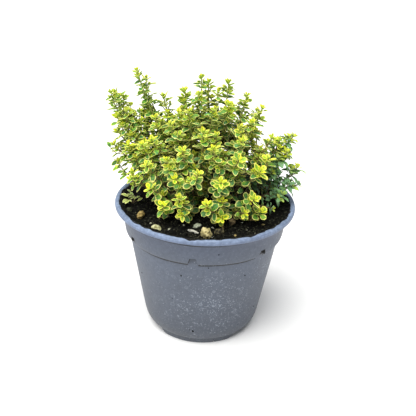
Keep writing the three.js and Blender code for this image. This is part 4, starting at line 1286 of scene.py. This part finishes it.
STONE_LOOKS = {
    "pumice_lump": ("tan_stone", stone_material("pumice", "#ac9f6a", "#dccf9a", "#584e30", 640.0)),
    "dark_stone": ("dark_stone", stone_material("dark_grit", "#26231a", "#7d7450", "#0e0c08", 560.0)),
    "bark_sliver": ("pale_bark", stone_material("bleached_bark", "#b0aea0", "#dedcd2", "#6c6858", 900.0)),
    "perlite_lump": (
        "pale_stone", stone_material("perlite_lump_face", "#9fa68e", "#ced3bd", "#5e6650", 760.0)
    ),
    "pale_stone": ("pale_stone", stone_material("limestone_grit", "#a9a87c", "#d2d2a4", "#7d7a4c", 520.0)),
    "ochre_lump": ("tan_stone", stone_material("ochre_grit", "#8a7440", "#b39e66", "#43381c", 560.0)),
    "mossy_lump": ("dark_stone", stone_material("mossy_grit", "#2d3020", "#4f5438", "#14150d", 600.0)),
    "tan_stone": ("tan_stone", stone_material("tan_grit", "#8d7a4c", "#c4b07a", "#3a3019", 600.0)),
    "brown_stone": ("tan_stone", stone_material("brown_grit", "#63553c", "#93815c", "#2c2516", 600.0)),
}
for number, (node, at, half, turn, rough, fineness, lobes) in enumerate(STONES):
    stone_slot, look = STONE_LOOKS[node]
    stone = model_stone(number, at, half, turn, rough, fineness, lobes)
    finished(stone, node + "_stone", stone_slot, [node], [look])

# Greens: young middle, old middle, second green, young margin, old margin, rib and underside
variegated_skin = leaf_material(
    "variegated_leaf", ("#aac61e", "#457a3c", "#7cae2a", "#eae632", "#f2ee8a", "#8aae4c"), 0.98, 0.46, False
)
green_skin = leaf_material(
    "plain_green_leaf", ("#c4cc2a", "#6c9466", "#72a04c", "#ccd440", "#7a9c70", "#9ab490"), 2.0, 1.3, True
)
seedling_skin = leaf_material(
    "seedling_leaf", ("#a8b858", "#83a24c", "#a2b460", "#dce090", "#d2dc9a", "#b0c090"), 0.86, 0.6, True
)
twig_skin = stem_material()
kinds = {name: model_leaf(name + "_leaf", *form) for name, form in LEAF_KINDS.items()}
all_stems = []
for name, stems, green in (("variegated_stem", VARIEGATED + back_tips(), False), ("green_stem", GREEN, True)):
    all_stems += [("%s_%02d" % (name, place + 1), tips, green) for place, tips in enumerate(stems)]
all_stems.append(("seedling", SEEDLING, True))
for number, (node, tips, green) in enumerate(all_stems):
    plain_leaved = green or node in GREEN_LEAVED
    plant = grow_seedling(node, number) if node == "seedling" else grow(node, tips, plain_leaved, number)
    blades = seedling_skin if node == "seedling" else green_skin if plain_leaved else variegated_skin
    build_plant(plant, node, kinds, (blades, twig_skin))

# Floor, light and camera
start_clean()
bpy.ops.mesh.primitive_plane_add(size=6, location=(0, 0, 0))
floor = bpy.context.object
floor.name = "floor"
floor_look, floor_shader = new_material("pale_floor")[:2]
set_inputs(floor_shader, {"Base Color": "#f6f6f6", "Roughness": 0.9})
floor.data.materials.append(floor_look)
floor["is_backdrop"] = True

scene = bpy.context.scene
scene.view_settings.view_transform = "Standard"
world = bpy.data.worlds.new("studio")
scene.world = world
world.use_nodes = True
# The backdrop looks white, but lights the plant only softly
seen = add_node(world.node_tree, "LightPath", output="Is Camera Ray")
strength = add_node(world.node_tree, "MapRange", [seen, 0.0, 1.0, 0.38, 1.1])
set_inputs(world.node_tree.nodes["Background"], [(0.93, 0.96, 1.0, 1.0), strength])


def soft_light(name, place, width, strength, colour):
    """A far softbox: it is as wide in the sky as width says, in degrees, and lights the floor evenly."""
    lamp = bpy.data.lights.new(name, "SUN")
    lamp.angle = math.radians(width)
    lamp.energy = strength
    lamp.color = colour
    obj = new_object(name, lamp)
    obj.location = place
    obj.rotation_euler = (Vector((0, 0, 0.08)) - Vector(place)).to_track_quat("-Z", "Y").to_euler()


soft_light("softbox_above", (-0.25, -0.35, 1.1), 58.0, 4.6, (1.0, 0.99, 0.96))

TARGET = Vector((2.2, 0, 91.9))
DISTANCE = 500.0
ELEVATION = 25.71
ROLL = 2.42
rise = math.radians(ELEVATION)
back = Vector((0, -math.cos(rise), math.sin(rise)))
right = Vector((1, 0, 0))
upward = back.cross(right)
roll = math.radians(ROLL)
camera_x = right * math.cos(roll) + upward * math.sin(roll)
camera_y = -right * math.sin(roll) + upward * math.cos(roll)
camera_data = bpy.data.cameras.new("camera")
camera_data.sensor_width = 36
camera_data.lens = 59.36
camera_data.clip_start = 0.01
camera = new_object("camera", camera_data)
turned = Matrix((camera_x, camera_y, back)).transposed().to_4x4()
camera.matrix_world = Matrix.Translation((TARGET + back * DISTANCE) * MM) @ turned
scene.camera = camera

boxes = {"cad": CAD_BOX, "visual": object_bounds()}
plain = {name: [[float(value) for value in corner] for corner in box] for name, box in boxes.items()}
